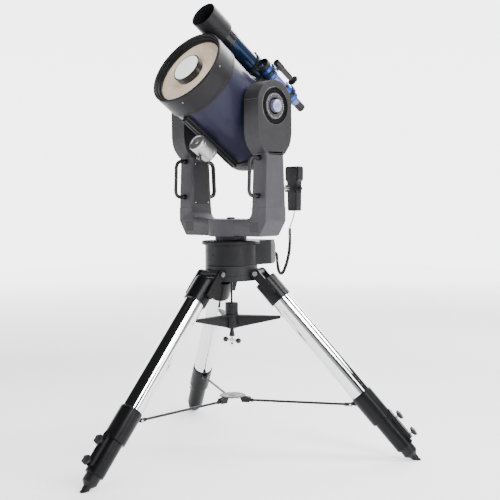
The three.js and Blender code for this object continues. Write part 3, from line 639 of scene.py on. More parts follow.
def add_yoke(leg, place):
    body = f"leg_{leg}"
    socket = lathe([(38.3, 762), (41.5, 762), (43, 764), (43, 853), (41, 857), (38.3, 857)], 96)
    ear = round_ended((0, 820), (0, LEG_LENGTH), 16)
    ears = [prism_y(ear, 46, 58), prism_y(ear, -58, -46)]
    cheeks = [block((-15, 15), (side * 52 - 6, side * 52 + 6), (792, 848)) for side in (-1, 1)]
    bridges = [block((-15, 15), (side * 42 - 6, side * 42 + 6), (792, 845)) for side in (-1, 1)]
    reliefs = [at(along_y(rod(4, side * 58 - 1.5, side * 58 + 1.5, 24)), 0, 0, 822) for side in (-1, 1)]
    bore = rod(CLEAR_OF_LEG, 755, 865, 96)
    piece(f"yoke_{leg}", body, COLLAR_BLACK, [socket, *ears, *cheeks, *bridges], [bore, *reliefs],
          place=place, bevel=1.2, node=f"leg_yoke_{leg}")
    bolt = lathe([(0, -65.8), (3, -65.8), (3.4, -61.5), (5, -61.5), (5, -65.4), (8.4, -65.4),
                  (9, -64.6), (9, -58.1), (6, -58.1), (6, 58.1), (9, 58.1), (9, 64.6),
                  (8.4, 65.4), (5, 65.4), (5, 61.5), (3.4, 61.5), (3, 65.8), (0, 65.8)], 32)
    piece(f"pivot_bolt_{leg}", body, DULL_STEEL, [at(along_y(bolt), 0, 0, LEG_LENGTH)], place=place,
          bevel=0.2)


def add_collar(leg, place):
    body = f"leg_{leg}"
    sleeve = lathe([(27.6, 60), (32.5, 60), (34, 62), (34, 186.5), (38, 188), (40, 188), (41, 190),
                    (41, 304), (40.2, 304.6), (40.2, 306), (41, 306.6), (38, 312), (38.3, 190),
                    (27.6, 190)], 96)
    strip = prism_x(round_ended((0, 85), (0, 192), 13), 30, 44)
    channel = prism_x(round_ended((0, 100), (0, 148), 5), 43, 46)
    ear = round_ended((-38, 296), (LUG_OFFSET, LUG_ALONG), 6)
    ears = [prism_y(ear, 5, 9), prism_y(ear, -9, -5)]
    web = block((-46, -38), (-9, 9), (286, 300))
    bore = [rod(27.6, 50, 200, 96), rod(CLEAR_OF_LEG, 190, 330, 96)]
    piece(f"collar_{leg}", body, COLLAR_BLACK, [sleeve, strip, *ears, web], [*bore, channel], place=place,
          bevel=1, node=f"leg_collar_{leg}")
    pin = lathe([(0, -11), (4, -11), (4, -9.2), (2.2, -9.2), (2.2, 9.2), (4, 9.2), (4, 11), (0, 11)], 24)
    piece(f"brace_pin_{leg}", body, BRIGHT_STEEL, [at(along_y(pin), LUG_OFFSET, 0, LUG_ALONG)],
          place=place, bevel=0.2)


def below_floor():
    """What a leg's foot loses to the floor, in the leg's frame."""
    return turned(block((-90, 90), (-90, 90), (-90, 0.1)), math.degrees(LEG_LEAN), "Y")


def add_extension(leg, place):
    outer = lathe([(0, 6), (13.5, 6), (13.5, 17), (17, 21), (26, 31), (27, 33), (27, 558),
                   (26, 560), (24, 560), (24, 66), (0, 66)], 96)
    piece(f"inner_leg_{leg}", f"extension_{leg}", STEEL_BLACK, [outer], [below_floor()], place=place,
          bevel=0.8, node=f"leg_extension_{leg}")
    foot = lathe([(0, -18), (13.2, -18), (13.2, -1), (11.5, 0), (11.5, 2), (13.2, 3), (13.2, 8),
                  (0, 8)], 64)
    piece(f"rubber_foot_{leg}", f"extension_{leg}", BLACK_PLASTIC, [foot], [below_floor()], place=place,
          bevel=0.5)


def add_lock_knob(leg, end, place):
    along = KNOB_PLACES[end]
    cap = prism_x(lobed(16.6, 1.5, 5, 90), 55, 65)
    crown = along_x(lathe([(0, 64), (12, 64), (9, 66), (0, 66.4)], 48))
    hub = along_x(lathe([(0, 51), (7, 51), (10, 55.5), (0, 55.5)], 48))
    shapes = [at(shape, 0, 0, along) for shape in (cap, hub, crown)]
    piece(f"knob_{leg}_{end}", f"lock_knob_{leg}_{end}", BLACK_PLASTIC, shapes, place=place, bevel=1.4,
          node=f"lock_knob_{leg}_{end}")
    stem = at(along_x(rod(4, 44.3, 52, 32)), 0, 0, along)
    piece(f"knob_stem_{leg}_{end}", f"lock_knob_{leg}_{end}", BRIGHT_STEEL, [stem], place=place,
          bevel=0.3)


def add_brace_rod(leg):
    near, far = HUB_HINGE_RADIUS, LUG_RADIUS
    bar = along_x(rod(4.5, near + 4, far - 4, 32))
    flats = [block(reach, (-4.2, 4.2), (-6, 6)) for reach in ((near - 2, near + 22), (far - 22, far + 2))]
    eyes = [at(along_y(rod(7.5, -4.4, 4.4, 48)), x) for x in (near, far)]
    holes = [at(along_y(rod(2.7, -6, 6, 32)), x) for x in (near, far)]
    place = STAND @ shift(0, 0, HINGE_HEIGHT) @ spin(LEG_AZIMUTHS[leg], "Z")
    piece(f"brace_bar_{leg}", f"brace_rod_{leg}", STEEL_BLACK, [bar, *flats, *eyes], holes, place=place,
          bevel=0.7, node=f"brace_rod_{leg}")


def add_brace_hub():
    low, high = HINGE_HEIGHT + 13, HINGE_HEIGHT + 18
    plate = lathe([(0, low), (48, low), (50, low + 1.5), (49.5, low + 3.5), (45, high), (40, high - 1.2),
                   (14, high - 1.6), (12, high), (0, high)], 96)
    piece("brace_plate", "brace_hub", HUB_MAUVE, [plate], bevel=0.5, node="brace_hub")
    ears = []
    for azimuth in LEG_AZIMUTHS.values():
        outline = [(30, low + 0.5), (38, HINGE_HEIGHT - 8), (66, HINGE_HEIGHT - 8),
                   (70, HINGE_HEIGHT - 3), (70, low - 2), (48, low + 0.5)]
        for side in (1, -1):
            ears.append(turned(prism_y(outline, side * 7.6 - 2.4, side * 7.6 + 2.4), azimuth))
    piece("brace_clevises", "brace_hub", STEEL_BLACK, ears)
    screw_heads("brace_rivets", "brace_hub", around(3, 30, high - 1.6, 30), 3.2, 1.6)


def add_spreader():
    hub = lathe([(4.5, 462.5), (13, 462), (24, 468), (25.5, 474), (25.5, 514), (27, 516), (26, 518),
                 (24.6, 520), (24.4, 560), (23, 562), (4.5, 562)], 96)
    arms = []
    for azimuth in LEG_AZIMUTHS.values():
        flange = prism([(18, -13), (180, -6.4), *arc((184, 0), 6.2, -80, 80, 8), (180, 6.4), (18, 13)],
                       511, 516)
        web = prism_y([(18, 466), (60, 476), (188, 505), (188, 512), (18, 512)], -3, 3)
        pad = at(rod(5.2, 506, 512, 24), 183)
        arms += [turned(shape, azimuth) for shape in (flange, web, pad)]
    bore = rod(4.4, 455, 570, 32)
    piece("spreader_casting", "spreader", SATIN_BLACK, [hub, *arms], [bore], bevel=1, node="leg_spreader")


def add_tension_parts():
    rod_shape = lathe([(0, 391), (2.5, 391.4), (5, 393.5), (6.8, 397.5), (7, 404), (4, 404.4),
                       (4, 700), (0, 700)], 48)
    piece("threaded_rod", "stand", STEEL_BLACK, [rod_shape], bevel=0, node="tension_rod")
    nut = lathe([(0, 391), (2.5, 391.2), (5.2, 393.2), (7.1, 397.5), (7.3, 403.8), (0, 404)], 48)
    piece("domed_nut", "stand", CHROME, [nut], bevel=0.2)
    sleeve = lathe([(4.4, 434), (10.4, 434), (11, 435), (11, 439), (10, 441), (7.4, 458), (6.6, 461.6),
                    (4.4, 461.6)], 64)
    piece("tension_sleeve", "tension_knob", GLOSS_BLACK, [sleeve], bevel=0.5, node="tension_knob")
    hub = lathe([(4.4, 409), (7, 409), (8, 410), (8, 425), (6.4, 427), (6.4, 434), (4.4, 434)], 48)
    bar = along_x(rod(3.4, -30, 30, 24))
    hub_bore = rod(4.4, 400, 440, 32)
    piece("tension_hub", "tension_knob", BRIGHT_STEEL, [hub, at(bar, 0, 0, T_HANDLE_HEIGHT)], [hub_bore],
          bevel=0.3)
    for name, side in SIDES:
        ball = lathe([(0, -10.5), *arc((0, 0), 10.5, -80, 80, 20), (0, 10.5)], 40)
        collar = rod(5, -13, -8, 24)
        parts = [at(turned(part, side * 90, "Y"), side * 34, 0, T_HANDLE_HEIGHT) for part in (ball, collar)]
        piece(f"tension_ball_{name}", "tension_knob", GLOSS_BLACK, parts, bevel=0)


def add_tripod():
    add_tripod_head()
    for leg in LEGS:
        place = leg_frame(leg)
        add_yoke(leg, place)
        piece(f"chrome_tube_{leg}", f"leg_{leg}", CHROME, [ring(38, 35.5, 190.3, 850, 160)], place=place,
              bevel=0.3, node=f"leg_tube_{leg}")
        add_collar(leg, place)
        add_extension(leg, place)
        for end in KNOB_PLACES:
            add_lock_knob(leg, end, place)
        add_brace_rod(leg)
    add_brace_hub()
    add_spreader()
    add_tension_parts()


# ---- drive base ----
BASE_BOTTOM, BASE_TOP = 705.8, 797
PANEL_FACE, PANEL_HEIGHT = 181, 742
PANEL = shift(0, PANEL_FACE, PANEL_HEIGHT) @ spin(-90, "X")
JACKS = [(-44, 8), (-26, 8), (-8, 8), (10, 8), (-44, -9), (-26, -9)]
PLUG_X = 40


def add_drive_base():
    drum = lathe([(88, BASE_BOTTOM), (97, BASE_BOTTOM), (98, 707), (98, 778), (99, 781), (108, 782.5),
                  (111, 785), (111, 793), (108.5, 795), (106, BASE_TOP), (20.5, BASE_TOP), (20.5, 775),
                  (88, 775)], 160)
    side = [(40, BASE_BOTTOM), (160, BASE_BOTTOM), (181, 719), (181, 764), (158, BASE_TOP), (40, BASE_TOP)]
    plan = [(-90, 0), (90, 0), (90, 122), (86, 132), (69, 172), (62, 180), (-62, 180), (-69, 172),
            (-86, 132), (-90, 122)]
    box = as_object(prism_x(side, -100, 100), "panel_box")
    combine(box, [prism(plan, BASE_BOTTOM, BASE_TOP)], "INTERSECT")
    panel_shape = bmesh.new()
    panel_shape.from_mesh(box.data)
    bpy.data.objects.remove(box)
    inside = rod(87.9, 700, 775, 96)
    window = prism_y([(-58, 721), (58, 721), (58, 763), (-58, 763)], 168, 190)
    piece("base_casting", "stand", SATIN_BLACK, [drum, panel_shape], [inside, window], bevel=1.6,
          node="drive_base")
    piece("base_band", "stand", STEEL_BLACK, [ring(111.2, 108, 787.4, 790.6, 160)], bevel=0.4)
    screw_heads("base_screws", "stand", around(3, 98, 744, 30, 90), 4.2, 1.6,
                material=STEEL_BLACK)


def on_panel(profile, segments, x, z):
    """A turned shape that stands out from the control panel, at a place on its face."""
    return moved(lathe(profile, segments), PANEL @ shift(x, -z, 0))


def add_control_panel():
    plate = at(prism_y(rounded_box(57.5, 20.6, 3), 172, PANEL_FACE), 0, 0, PANEL_HEIGHT)
    holes = [on_panel([(0, -3), (4.6, -3), (4.6, 9), (0, 9)], 32, *jack) for jack in JACKS]
    piece("jack_plate", "stand", BLACK_PLASTIC, [plate], holes, bevel=0.5, node="control_panel")
    rims = [on_panel([(4.6, 0), (6, 0), (6, 1.4), (4.6, 1.4)], 32, *jack) for jack in JACKS]
    piece("jack_rims", "stand", BRIGHT_STEEL, [gathered(rims)], bevel=0.2)
    plug = on_panel([(2.2, 0), (8, 0), (8, 8), (7, 10.8), (2.2, 10.8)], 48, PLUG_X, 0)
    piece("cord_plug", "stand", BLACK_PLASTIC, [plug], bevel=0.5)
    switch = at(prism_y(rounded_box(8, 5, 1.5), PANEL_FACE, PANEL_FACE + 3), -4, 0, PANEL_HEIGHT - 11)
    piece("power_switch", "stand", GLOSS_BLACK, [switch], bevel=0.8)
    lamp = on_panel([(0, 0), (2.4, 0), (2.4, 1.5), (1.6, 2.4), (0, 2.6)], 24, 12, -11)
    piece("power_lamp", "stand", RED_LENS, [lamp], bevel=0)
    corners = [PANEL @ shift(x, z, 0) for x in (-53, 53) for z in (-16.5, 16.5)]
    screw_heads("panel_screws", "stand", corners, 2.4, 1.2)


# ---- fork ----
ARM_INNER, ARM_OUTER = 158.4, 230
ARM_MIDDLE = (ARM_INNER + ARM_OUTER) / 2
HALF_DEPTH = 55
SEAM = 921
NECK = 1113
HUB_HEIGHT = 1282
NECK_HALF_DEPTH = 46
HANDLE_LOW, HANDLE_HIGH = 962, 1098
HANDLE_STAND_OFF = 50


def column_section(side, half_depth, z, radius=9, inset=0.0):
    """An arm's level outline at a height."""
    half_width = (ARM_OUTER - ARM_INNER) / 2 - inset
    return [(side * ARM_MIDDLE + x, y, z) for x, y in rounded_box(half_width, half_depth - inset, radius)]


def add_fork_base():
    corner = arc((ARM_INNER - 30, 908), 30, 0, -90, 12)
    right = [(190, 815), (197, 818), (230, 870), (230, 876), (230, 940), (ARM_INNER, 940), *corner]
    left = [(-x, z) for x, z in right][::-1]
    body = prism_y([*right, *left], -HALF_DEPTH, HALF_DEPTH)
    casting = piece("fork_casting", "fork", FORK_PAINT, [body], bevel=7.5, node="fork_base")
    combine(casting, [block((-300, 300), (-100, 100), (SEAM, 1000))], "DIFFERENCE", STAND)
    hub = lathe([(0, 726), (19, 726), (20, 728), (20, 798), (60, 798.6), (60, 812), (84, 813.5), (85, 816),
                 (85, 874), (83, 877.6), (0, 877.6)], 160)
    for name, side in SIDES:
        gasket = loft([column_section(side, HALF_DEPTH - 1.2, SEAM - 0.6, 8, 1.0),
                       column_section(side, HALF_DEPTH - 1.2, SEAM + 1.0, 8, 1.0)])
        piece(f"seam_gasket_{name}", "fork", FLAT_BLACK, [gasket], bevel=0)
    piece("fork_hub", "fork", FORK_PAINT, [hub], bevel=1)
    clamp = lathe([(0, 877.7), (16, 877.7), (17, 880), (15, 884), (0, 885)], 48)
    piece("fork_hub_cap", "fork", SATIN_BLACK, [clamp])
    for name, side in SIDES:
        cover = block((side * 172 - 22, side * 172 + 22), (-55.4, -54.6), (832, 868))
        piece(f"base_cover_{name}", "fork", ARM_PAINT, [cover], bevel=0.2)


def head_outline():
    right = [(51, NECK), (76, 1143), (84, 1163), (88, 1190), (88, 1302)]
    crown = arc((0, HUB_HEIGHT), 92, 13, 167, 40)
    return [*right, *crown, *[(-y, z) for y, z in right][::-1]]


def add_arm(name, side):
    column = loft([column_section(side, HALF_DEPTH - 0.2, SEAM + 0.4),
                   column_section(side, NECK_HALF_DEPTH, NECK - 6),
                   column_section(side, NECK_HALF_DEPTH, NECK + 6)])
    piece(f"arm_column_{name}", "fork", FORK_PAINT, [column], bevel=0)
    faces = sorted((side * ARM_INNER, side * ARM_OUTER))
    head = prism_x(head_outline(), *faces)
    dish = along_x(lathe([(0, -8), (65.6, -8), (68, 2), (0, 2)] if side > 0 else
                         [(0, 8), (60, 8), (68, -2), (0, -2)], 128))
    bore = along_x(rod(30, -14, 14, 64))
    cuts = [at(dish, side * ARM_OUTER, 0, HUB_HEIGHT), at(bore, side * ARM_INNER, 0, HUB_HEIGHT)]
    piece(f"arm_head_{name}", "fork", ARM_PAINT, [head], cuts, bevel=5.5, node=f"fork_arm_{name}")
    ledge = loft([column_section(side, 50, NECK - 5), column_section(side, 51, NECK)])
    piece(f"arm_ledge_{name}", "fork", FORK_PAINT, [ledge], bevel=0.8)
    parts = (
        ("ring", HUB_MAUVE, 0.4, [(30, -8), (47, -8), (47, -1.5), (45.5, 0), (31.5, 0), (30, -1.5)], 128),
        ("well", FLAT_BLACK, 0, [(47, -8), (65.6, -8), (65.6, -7.2), (47, -7.2)], 128),
        ("rim", RIM_PAINT, 0, [(65.9, -7), (68, -0.4), (66.4, 0.3), (64.6, -7)], 128),
        ("floor", FLAT_BLACK, 0, [(0, -8), (30.2, -8), (30.2, -6), (0, -6)], 64),
    )
    for part, material, bevel, profile, segments in parts:
        facing = [(radius, side * out) for radius, out in profile]
        shape = at(along_x(lathe(facing, segments)), side * ARM_OUTER, 0, HUB_HEIGHT)
        piece(f"dial_{part}_{name}", "fork", material, [shape], bevel=bevel)
    ticks = []
    for i in range(36):
        inner = 41.5 if i % 3 else 39
        ticks.append(turned(block((-0.15, 0.25), (-0.35, 0.35), (inner, 44.5)), 10 * i, "X"))
    dial = at(gathered(ticks), side * ARM_OUTER, 0, HUB_HEIGHT)
    piece(f"dial_ticks_{name}", "fork", WHITE_MARK, [dial], bevel=0)
    panel = prism_x([(-38, 935), (38, 935), (36, 1095), (-36, 1095)],
                    *sorted((side * (ARM_INNER - 0.6), side * (ARM_INNER + 2))))
    piece(f"inner_cover_{name}", "fork", ARM_PAINT, [panel], bevel=0.3)
    spots = [shift(side * (ARM_INNER - 0.6), y, z) @ spin(-90 * side, "Y")
             for y in (-33, 33) for z in (941, 1089)]
    screw_heads(f"cover_screws_{name}", "fork", spots, 2.6, 1.2)


def arm_face(z):
    """How far an arm's narrowing front or rear face stands from its middle at a height."""
    return HALF_DEPTH - (HALF_DEPTH - NECK_HALF_DEPTH) * (z - SEAM) / (NECK - SEAM)


def add_handle(name, side, end):
    """A grab handle on an arm's front (end -1) or rear (end 1) face."""
    half = []
    for z, inwards in ((HANDLE_LOW, 1), (HANDLE_HIGH, -1)):
        bends = [(arm_face(z) + 12, z), (arm_face(z) + 28, z),
                 (arm_face(z) + HANDLE_STAND_OFF - 7, z + inwards * 6)]
        for height in (z + inwards * 22, z + inwards * 40):
            bends.append((arm_face(height) + HANDLE_STAND_OFF, height))
        half.append(bends)
    route = [*half[0], *half[1][::-1]]
    path = smooth_path([(side * ARM_MIDDLE, end * y, z) for y, z in route], 8)
    piece(f"handle_bar_{name}", "fork", ARM_PAINT, [sweep(path, 6.6, 24, 1.25)], bevel=0,
          node=f"grab_handle_{name}")
    for z, spot in ((HANDLE_LOW, "low"), (HANDLE_HIGH, "high")):
        boss = lathe([(0, 0.2), (10, 0.2), (9.6, 10), (8.4, 16), (6.4, 18), (0, 18)], 48)
        place = STAND @ shift(side * ARM_MIDDLE, end * arm_face(z), z) @ spin(-90 * end, "X")
        piece(f"handle_boss_{name}_{spot}", "fork", GLOSS_BLACK, [boss], place=place, bevel=0.8)


def add_altitude_knob():
    grip = prism(lobed(22.6, 0.4, 30, 120), -4, 11)
    cap = lathe([(0, 10), (20.5, 10), (20.5, 12.5), (18.5, 14), (12, 14.8), (10, 13), (0, 12.6)], 96)
    stem = rod(14, -7.5, -3, 48)
    shapes = [at(along_x(shape), ARM_OUTER, 0, HUB_HEIGHT) for shape in (grip, cap, stem)]
    piece("altitude_lock", "altitude_knob", KNOB_LILAC, shapes, bevel=0.5, node="altitude_knob")


def add_fork():
    add_fork_base()
    for name, side in SIDES:
        add_arm(name, side)
    add_handle("right_front", 1, -1)
    add_handle("left_front", -1, -1)
    add_handle("left_rear", -1, 1)
    add_altitude_knob()


# ---- optical tube ----
TUBE_REAR = -150
REAR_FACE = -228
TUBE_RADIUS = 147.5
CLEAR_OF_TUBE = 147.7
FOCUS_X, FOCUS_Y = 72, -52
WEIGHT_Y = -196
GUIDE_CLAMP_RADIUS = 41.4
SMALL_FINDER_X, SMALL_FINDER_Y = 30, 292


def add_optics():
    cell = lathe([(147.8, 171), (152.4, 171), (153, 172), (153, 181), (152, 182), (152, 184), (153, 185),
                  (153, 257.5), (150, 261), (145, 261), (143.5, 259.5), (142.5, 252), (138.5, 251),
                  (137.5, 242), (131, 240), (131, 233.3), (136.5, 233.3), (136.5, 226), (147.8, 226)], 192)
    piece("corrector_cell", OTA_BODY, SATIN_BLACK, [cell], bevel=0.5, node="front_cell")
    screw_heads("cell_screws", OTA_BODY, around(5, 152.8, 237, 0, 90), 3.4, 0.8, material=DULL_STEEL)
    screw_heads("retainer_screws", OTA_BODY, around(8, 140.2, 251.2, 10), 2.6, 1.4,
                material=STEEL_BLACK)
    piece("blue_tube", OTA_BODY, TUBE_BLUE, [ring(TUBE_RADIUS, 144.5, TUBE_REAR, 225.7, 192)], bevel=0,
          node="main_tube")
    piece("corrector_lens", OTA_BODY, CORRECTOR, [ring(136, 50.3, 226.5, 232.9, 160)], bevel=0.3,
          node="corrector_plate")
    holder = lathe([(0, 205), (50, 205), (50, 233.3), (57, 233.3), (57, 257), (55.6, 258.6), (53, 258.8),
                    (52.4, 257.6), (0, 257.6)], 128)
    piece("secondary_holder", OTA_BODY, GLOSS_BLACK, [holder], bevel=0.4, node="secondary_mirror")
    disc = lathe([(0, 257.7), (52, 257.7), (52, 258.4), (51.4, 258.9), (0, 259)], 128)
    piece("secondary_cover", OTA_BODY, PALE_DISC, [disc], bevel=0)
    band = ring(152, 147.8, TUBE_REAR - 4, TUBE_REAR + 18, 192)
    piece("rear_band", OTA_BODY, SATIN_BLACK, [band], bevel=1)
    casting = lathe([(147.8, TUBE_REAR - 4.2), (150.4, TUBE_REAR - 4.2), (150.4, -157), (149.4, -158),
                     (149.4, -160), (150.4, -161), (150, -178), (148, -183), (134, -203), (118, -218),
                     (112, -221), (62, REAR_FACE), (24.9, REAR_FACE), (24.9, REAR_FACE + 10),
                     (110, REAR_FACE + 20), (126, -196), (140, -174), (140, TUBE_REAR - 0.3),
                     (147.8, TUBE_REAR - 0.3)], 192)
    vents = [turned(prism(round_ended((84, -9), (84, 9), 3.5), -240, -205), 30 * i)
             for i in (2, 3, 4, 7, 8, 9)]
    piece("rear_casting", OTA_BODY, FORK_PAINT, [casting], vents, bevel=1, node="rear_cell")
    vent_floor = ring(96, 72, REAR_FACE + 11, REAR_FACE + 13, 96)
    piece("vent_screen", OTA_BODY, FLAT_BLACK, [vent_floor], bevel=0)
    spots = [where @ spin(180, "X") for where in around(6, 54, REAR_FACE + 0.2, 30)]
    screw_heads("rear_screws", OTA_BODY, spots, 3.4, 1.8)
    back = lathe([(16, 0), (30, 0), (30, -3.7), (28.4, -4.7), (28.4, -6.7), (30, -7.7), (30, -14.7),
                  (27, -17.7), (27, -29.7), (26, -30.7), (17, -30.7), (16, -29.7)], 96)
    piece("eyepiece_back", OTA_BODY, SATIN_BLACK, [at(back, 0, 0, REAR_FACE - 0.3)], bevel=0.4,
          node="visual_back")
    thumb = lathe([(0, 0), (2, 0), (2, 7), (5, 7.5), (5, 13), (0, 13)], 24)
    place = TUBE @ shift(0, 26.5, REAR_FACE - 24) @ spin(-90, "X")
    piece("back_thumbscrew", OTA_BODY, SILVER, [thumb], place=place, bevel=0.3)
    knob = prism(lobed(13.4, 0.6, 24, 96), REAR_FACE - 27.5, REAR_FACE - 4)
    piece("focus_grip", "focus_knob", KEY_RUBBER, [at(knob, FOCUS_X, FOCUS_Y)], place=TUBE, bevel=1,
          node="focus_knob")
    stem = lathe([(0, REAR_FACE - 4.5), (8, REAR_FACE - 4.5), (8, REAR_FACE + 8), (0, REAR_FACE + 8)], 32)
    piece("focus_stem", OTA_BODY, SILVER, [at(stem, FOCUS_X, FOCUS_Y)], bevel=0.2)


def add_trunnions():
    for name, side in reversed(SIDES):
        pad = prism_x(rounded_box(38, 38, 10), *sorted((side * 144.5, side * 155)))
        shaft = along_x(rod(29.4, *sorted((side * 150, side * 174)), 64))
        tube = rod(CLEAR_OF_TUBE, -60, 60, 192)
        piece(f"trunnion_{name}_saddle", OTA_BODY, ARM_PAINT, [pad, shaft], [tube], bevel=0.8,
              node=f"trunnion_{name}")


def add_balance():
    outline = [(-12, -147.9), (-12, -152), (-8, -156), (-8, -160), (-12, -163), (-12, -168), (-4, -168),
               (-4, -165), (4, -165), (4, -168), (12, -168), (12, -163), (8, -160), (8, -156), (12, -152),
               (12, -147.9)]
    tube = rod(CLEAR_OF_TUBE, -200, 200, 192)
    piece("weight_rail", OTA_BODY, SATIN_BLACK, [prism(outline, TUBE_REAR + 18.5, 168)], [tube],
          bevel=0.4, node="balance_rail")
    body = lathe([(0, -3.5), (30, -3.5), (33, -2), (34, 1), (34, 9), (33.2, 10), (33.2, 12), (34, 13),
                  (34, 63), (33.2, 64), (33.2, 66), (34, 67), (34, 76), (32.6, 79.5), (26, 79.5),
                  (24.5, 77.5), (8, 77.5), (7, 79), (0, 79)], 128)
    slot = block((-12.5, 12.5), (27.7, 60), (-50, 120))
    piece("weight", "counterweight", WEIGHT_STEEL, [body], [slot],
          place=TUBE @ shift(0, WEIGHT_Y, 0), bevel=0.4, node="counterweight")
    thumb = lathe([(0, 0), (4, 0), (4, 4), (9, 5), (9, 13), (7.5, 14), (0, 14)], 32)
    place = TUBE @ shift(0, WEIGHT_Y - 33.4, 38) @ spin(90, "X")
    piece("weight_thumbscrew", "counterweight", GLOSS_BLACK, [thumb], place=place, bevel=0.4)


def add_white_rail():
    rail = at(prism(rounded_box(7, 3, 1.5), -69, 21), 0, 151.2)
    place = TUBE @ spin(-27, "Z")
    piece("accessory_rail", OTA_BODY, WHITE_MARK, [rail], place=place)
    spots = [shift(0, 154.2, z) @ spin(-90, "X") for z in (-58, 10)]
    screw_heads("accessory_rail_screws", OTA_BODY, spots, 2.6, 1.0, place)


def add_guide_scope():
    shield = lathe([(48.3, 197), (48.3, 291.5), (49.4, 293), (50.4, 293), (51, 292), (51, 190), (49, 186),
                    (41, 186), (41, 190), (47, 193)], 128)
    piece("dew_shield", OTA_BODY, SATIN_BLACK, [shield], place=GUIDE, bevel=0.3, node="guide_scope")
    lens = lathe([(0, 186), (40.8, 186), (40.8, 189), (30, 191.6), (14, 193), (0, 193.4)], 96)
    piece("guide_lens", OTA_BODY, LENS_GLASS, [lens], place=GUIDE, bevel=0)
    band = lathe([(41, 141), (43, 141), (43, 145), (42.2, 146), (42.2, 148), (43, 149), (43, 186),
                  (41, 186)], 128)
    piece("guide_lens_cell", OTA_BODY, GLOSS_BLACK, [band], place=GUIDE, bevel=0.3)
    tube = lathe([(39, -93), (39, 186), (41, 186), (41, -92), (40, -95)], 128)
    piece("guide_tube", OTA_BODY, GUIDE_BLUE, [tube], place=GUIDE, bevel=0.2)
    rear = lathe([(24.6, -112), (29, -112), (30, -111), (30, -101), (33, -98), (39, -96), (41, -94.6),
                  (41, -86), (39, -86), (39, -92), (24.6, -92)], 96)
    piece("guide_rear_cell", OTA_BODY, SATIN_BLACK, [rear], place=GUIDE, bevel=0.3)
    draw = lathe([(0, -60), (24.2, -60), (24.2, -124), (23, -126), (23, -132), (24, -133), (24, -147),
                  (22, -149), (17, -150), (16, -152), (16, -163), (15, -165), (12, -165), (12, -140),
                  (0, -140)], 96)
    piece("draw_tube", "guide_focuser", SATIN_BLACK, [draw], place=GUIDE, bevel=0.3, node="guide_focuser")


def add_guide_mount():
    plate = prism_x([(143, -120), (166, -116), (166, 116), (143, 120)], -22, 22)
    tube = rod(CLEAR_OF_TUBE, -200, 200, 192)
    slot = round_ended((0, -14), (0, 14), 5)
    slots = [at(turned(prism(slot, -20, 20), 90, "X"), 0, 160, z) for z in (0, -50, 40)]
    piece("guide_plate", OTA_BODY, SATIN_BLACK, [plate], [tube, *slots], bevel=0.8, node="guide_mount")
    for name, z in (("rear", -70), ("front", -4)):
        clamp = ring(47.5, GUIDE_CLAMP_RADIUS, z, z + 16, 96)
        foot = block((-15, 15), (-50, -43), (z, z + 16))
        bore = rod(GUIDE_CLAMP_RADIUS, z - 5, z + 25, 96)
        lips = [block((side * 50 - 6, side * 50 + 4), (-4, 4), (z, z + 16)) for side in (-1, 1)]
        piece(f"guide_ring_{name}", OTA_BODY, SATIN_BLACK, [clamp, foot, *lips], [bore], place=GUIDE,
              bevel=0.8)
        for i, angle in enumerate((90, 210, 330)):
            screw = lathe([(0, 0), (2.2, 0), (2.2, 5), (5, 5.5), (5.4, 6.5), (5.4, 11), (4.6, 12),
                           (0, 12)], 32)
            place = GUIDE @ spin(angle, "Z") @ shift(47, 0, z + 8) @ spin(90, "Y")
            piece(f"ring_screw_{name}_{i}", OTA_BODY, SILVER if i else GLOSS_BLACK, [screw], place=place,
                  bevel=0.3)


def add_guide_finder():
    where = TUBE @ shift(SMALL_FINDER_X, SMALL_FINDER_Y, 0)
    body = lathe([(0, -187), (9, -187), (10, -186), (12, -176), (12, -128), (13, -124), (14, -122),
                  (14, -84), (13, -82), (11.5, -82), (11.5, -90), (0, -90)], 64)
    piece("small_finder", OTA_BODY, GLOSS_BLACK, [body], place=where, bevel=0.4, node="guide_finder")
    lens = lathe([(0, -91), (11.4, -91), (11.4, -88), (5, -86.4), (0, -86)], 48)
    piece("small_finder_lens", OTA_BODY, LENS_GLASS, [lens], place=where, bevel=0)
    wheel = lathe([(0, -205), (16, -205), (18, -203), (21, -203), (22, -202), (22, -198.5), (21, -197.4),
                   (17, -196.6), (8, -196), (8, -186), (0, -186)], 96)
    piece("small_finder_wheel", OTA_BODY, SATIN_BLACK, [wheel], place=where, bevel=0.4)
    rim = ring(22.3, 20.6, -201.4, -199.2, 96)
    piece("small_finder_rim", OTA_BODY, SILVER, [rim], place=where, bevel=0.3)
    stalk = prism([(14, 248), (24, 244), (36, 284), (34, 292), (22, 294)], -110, -90)
    saddle = at(ring(46, GUIDE_CLAMP_RADIUS, -94.5, -80, 96), 0, GUIDE_HEIGHT)
    bores = [at(rod(GUIDE_CLAMP_RADIUS, -130, -60, 96), 0, GUIDE_HEIGHT),
             at(rod(11.9, -130, -60, 48), SMALL_FINDER_X, SMALL_FINDER_Y)]
    piece("small_finder_stalk", OTA_BODY, SATIN_BLACK, [stalk, saddle], bores)


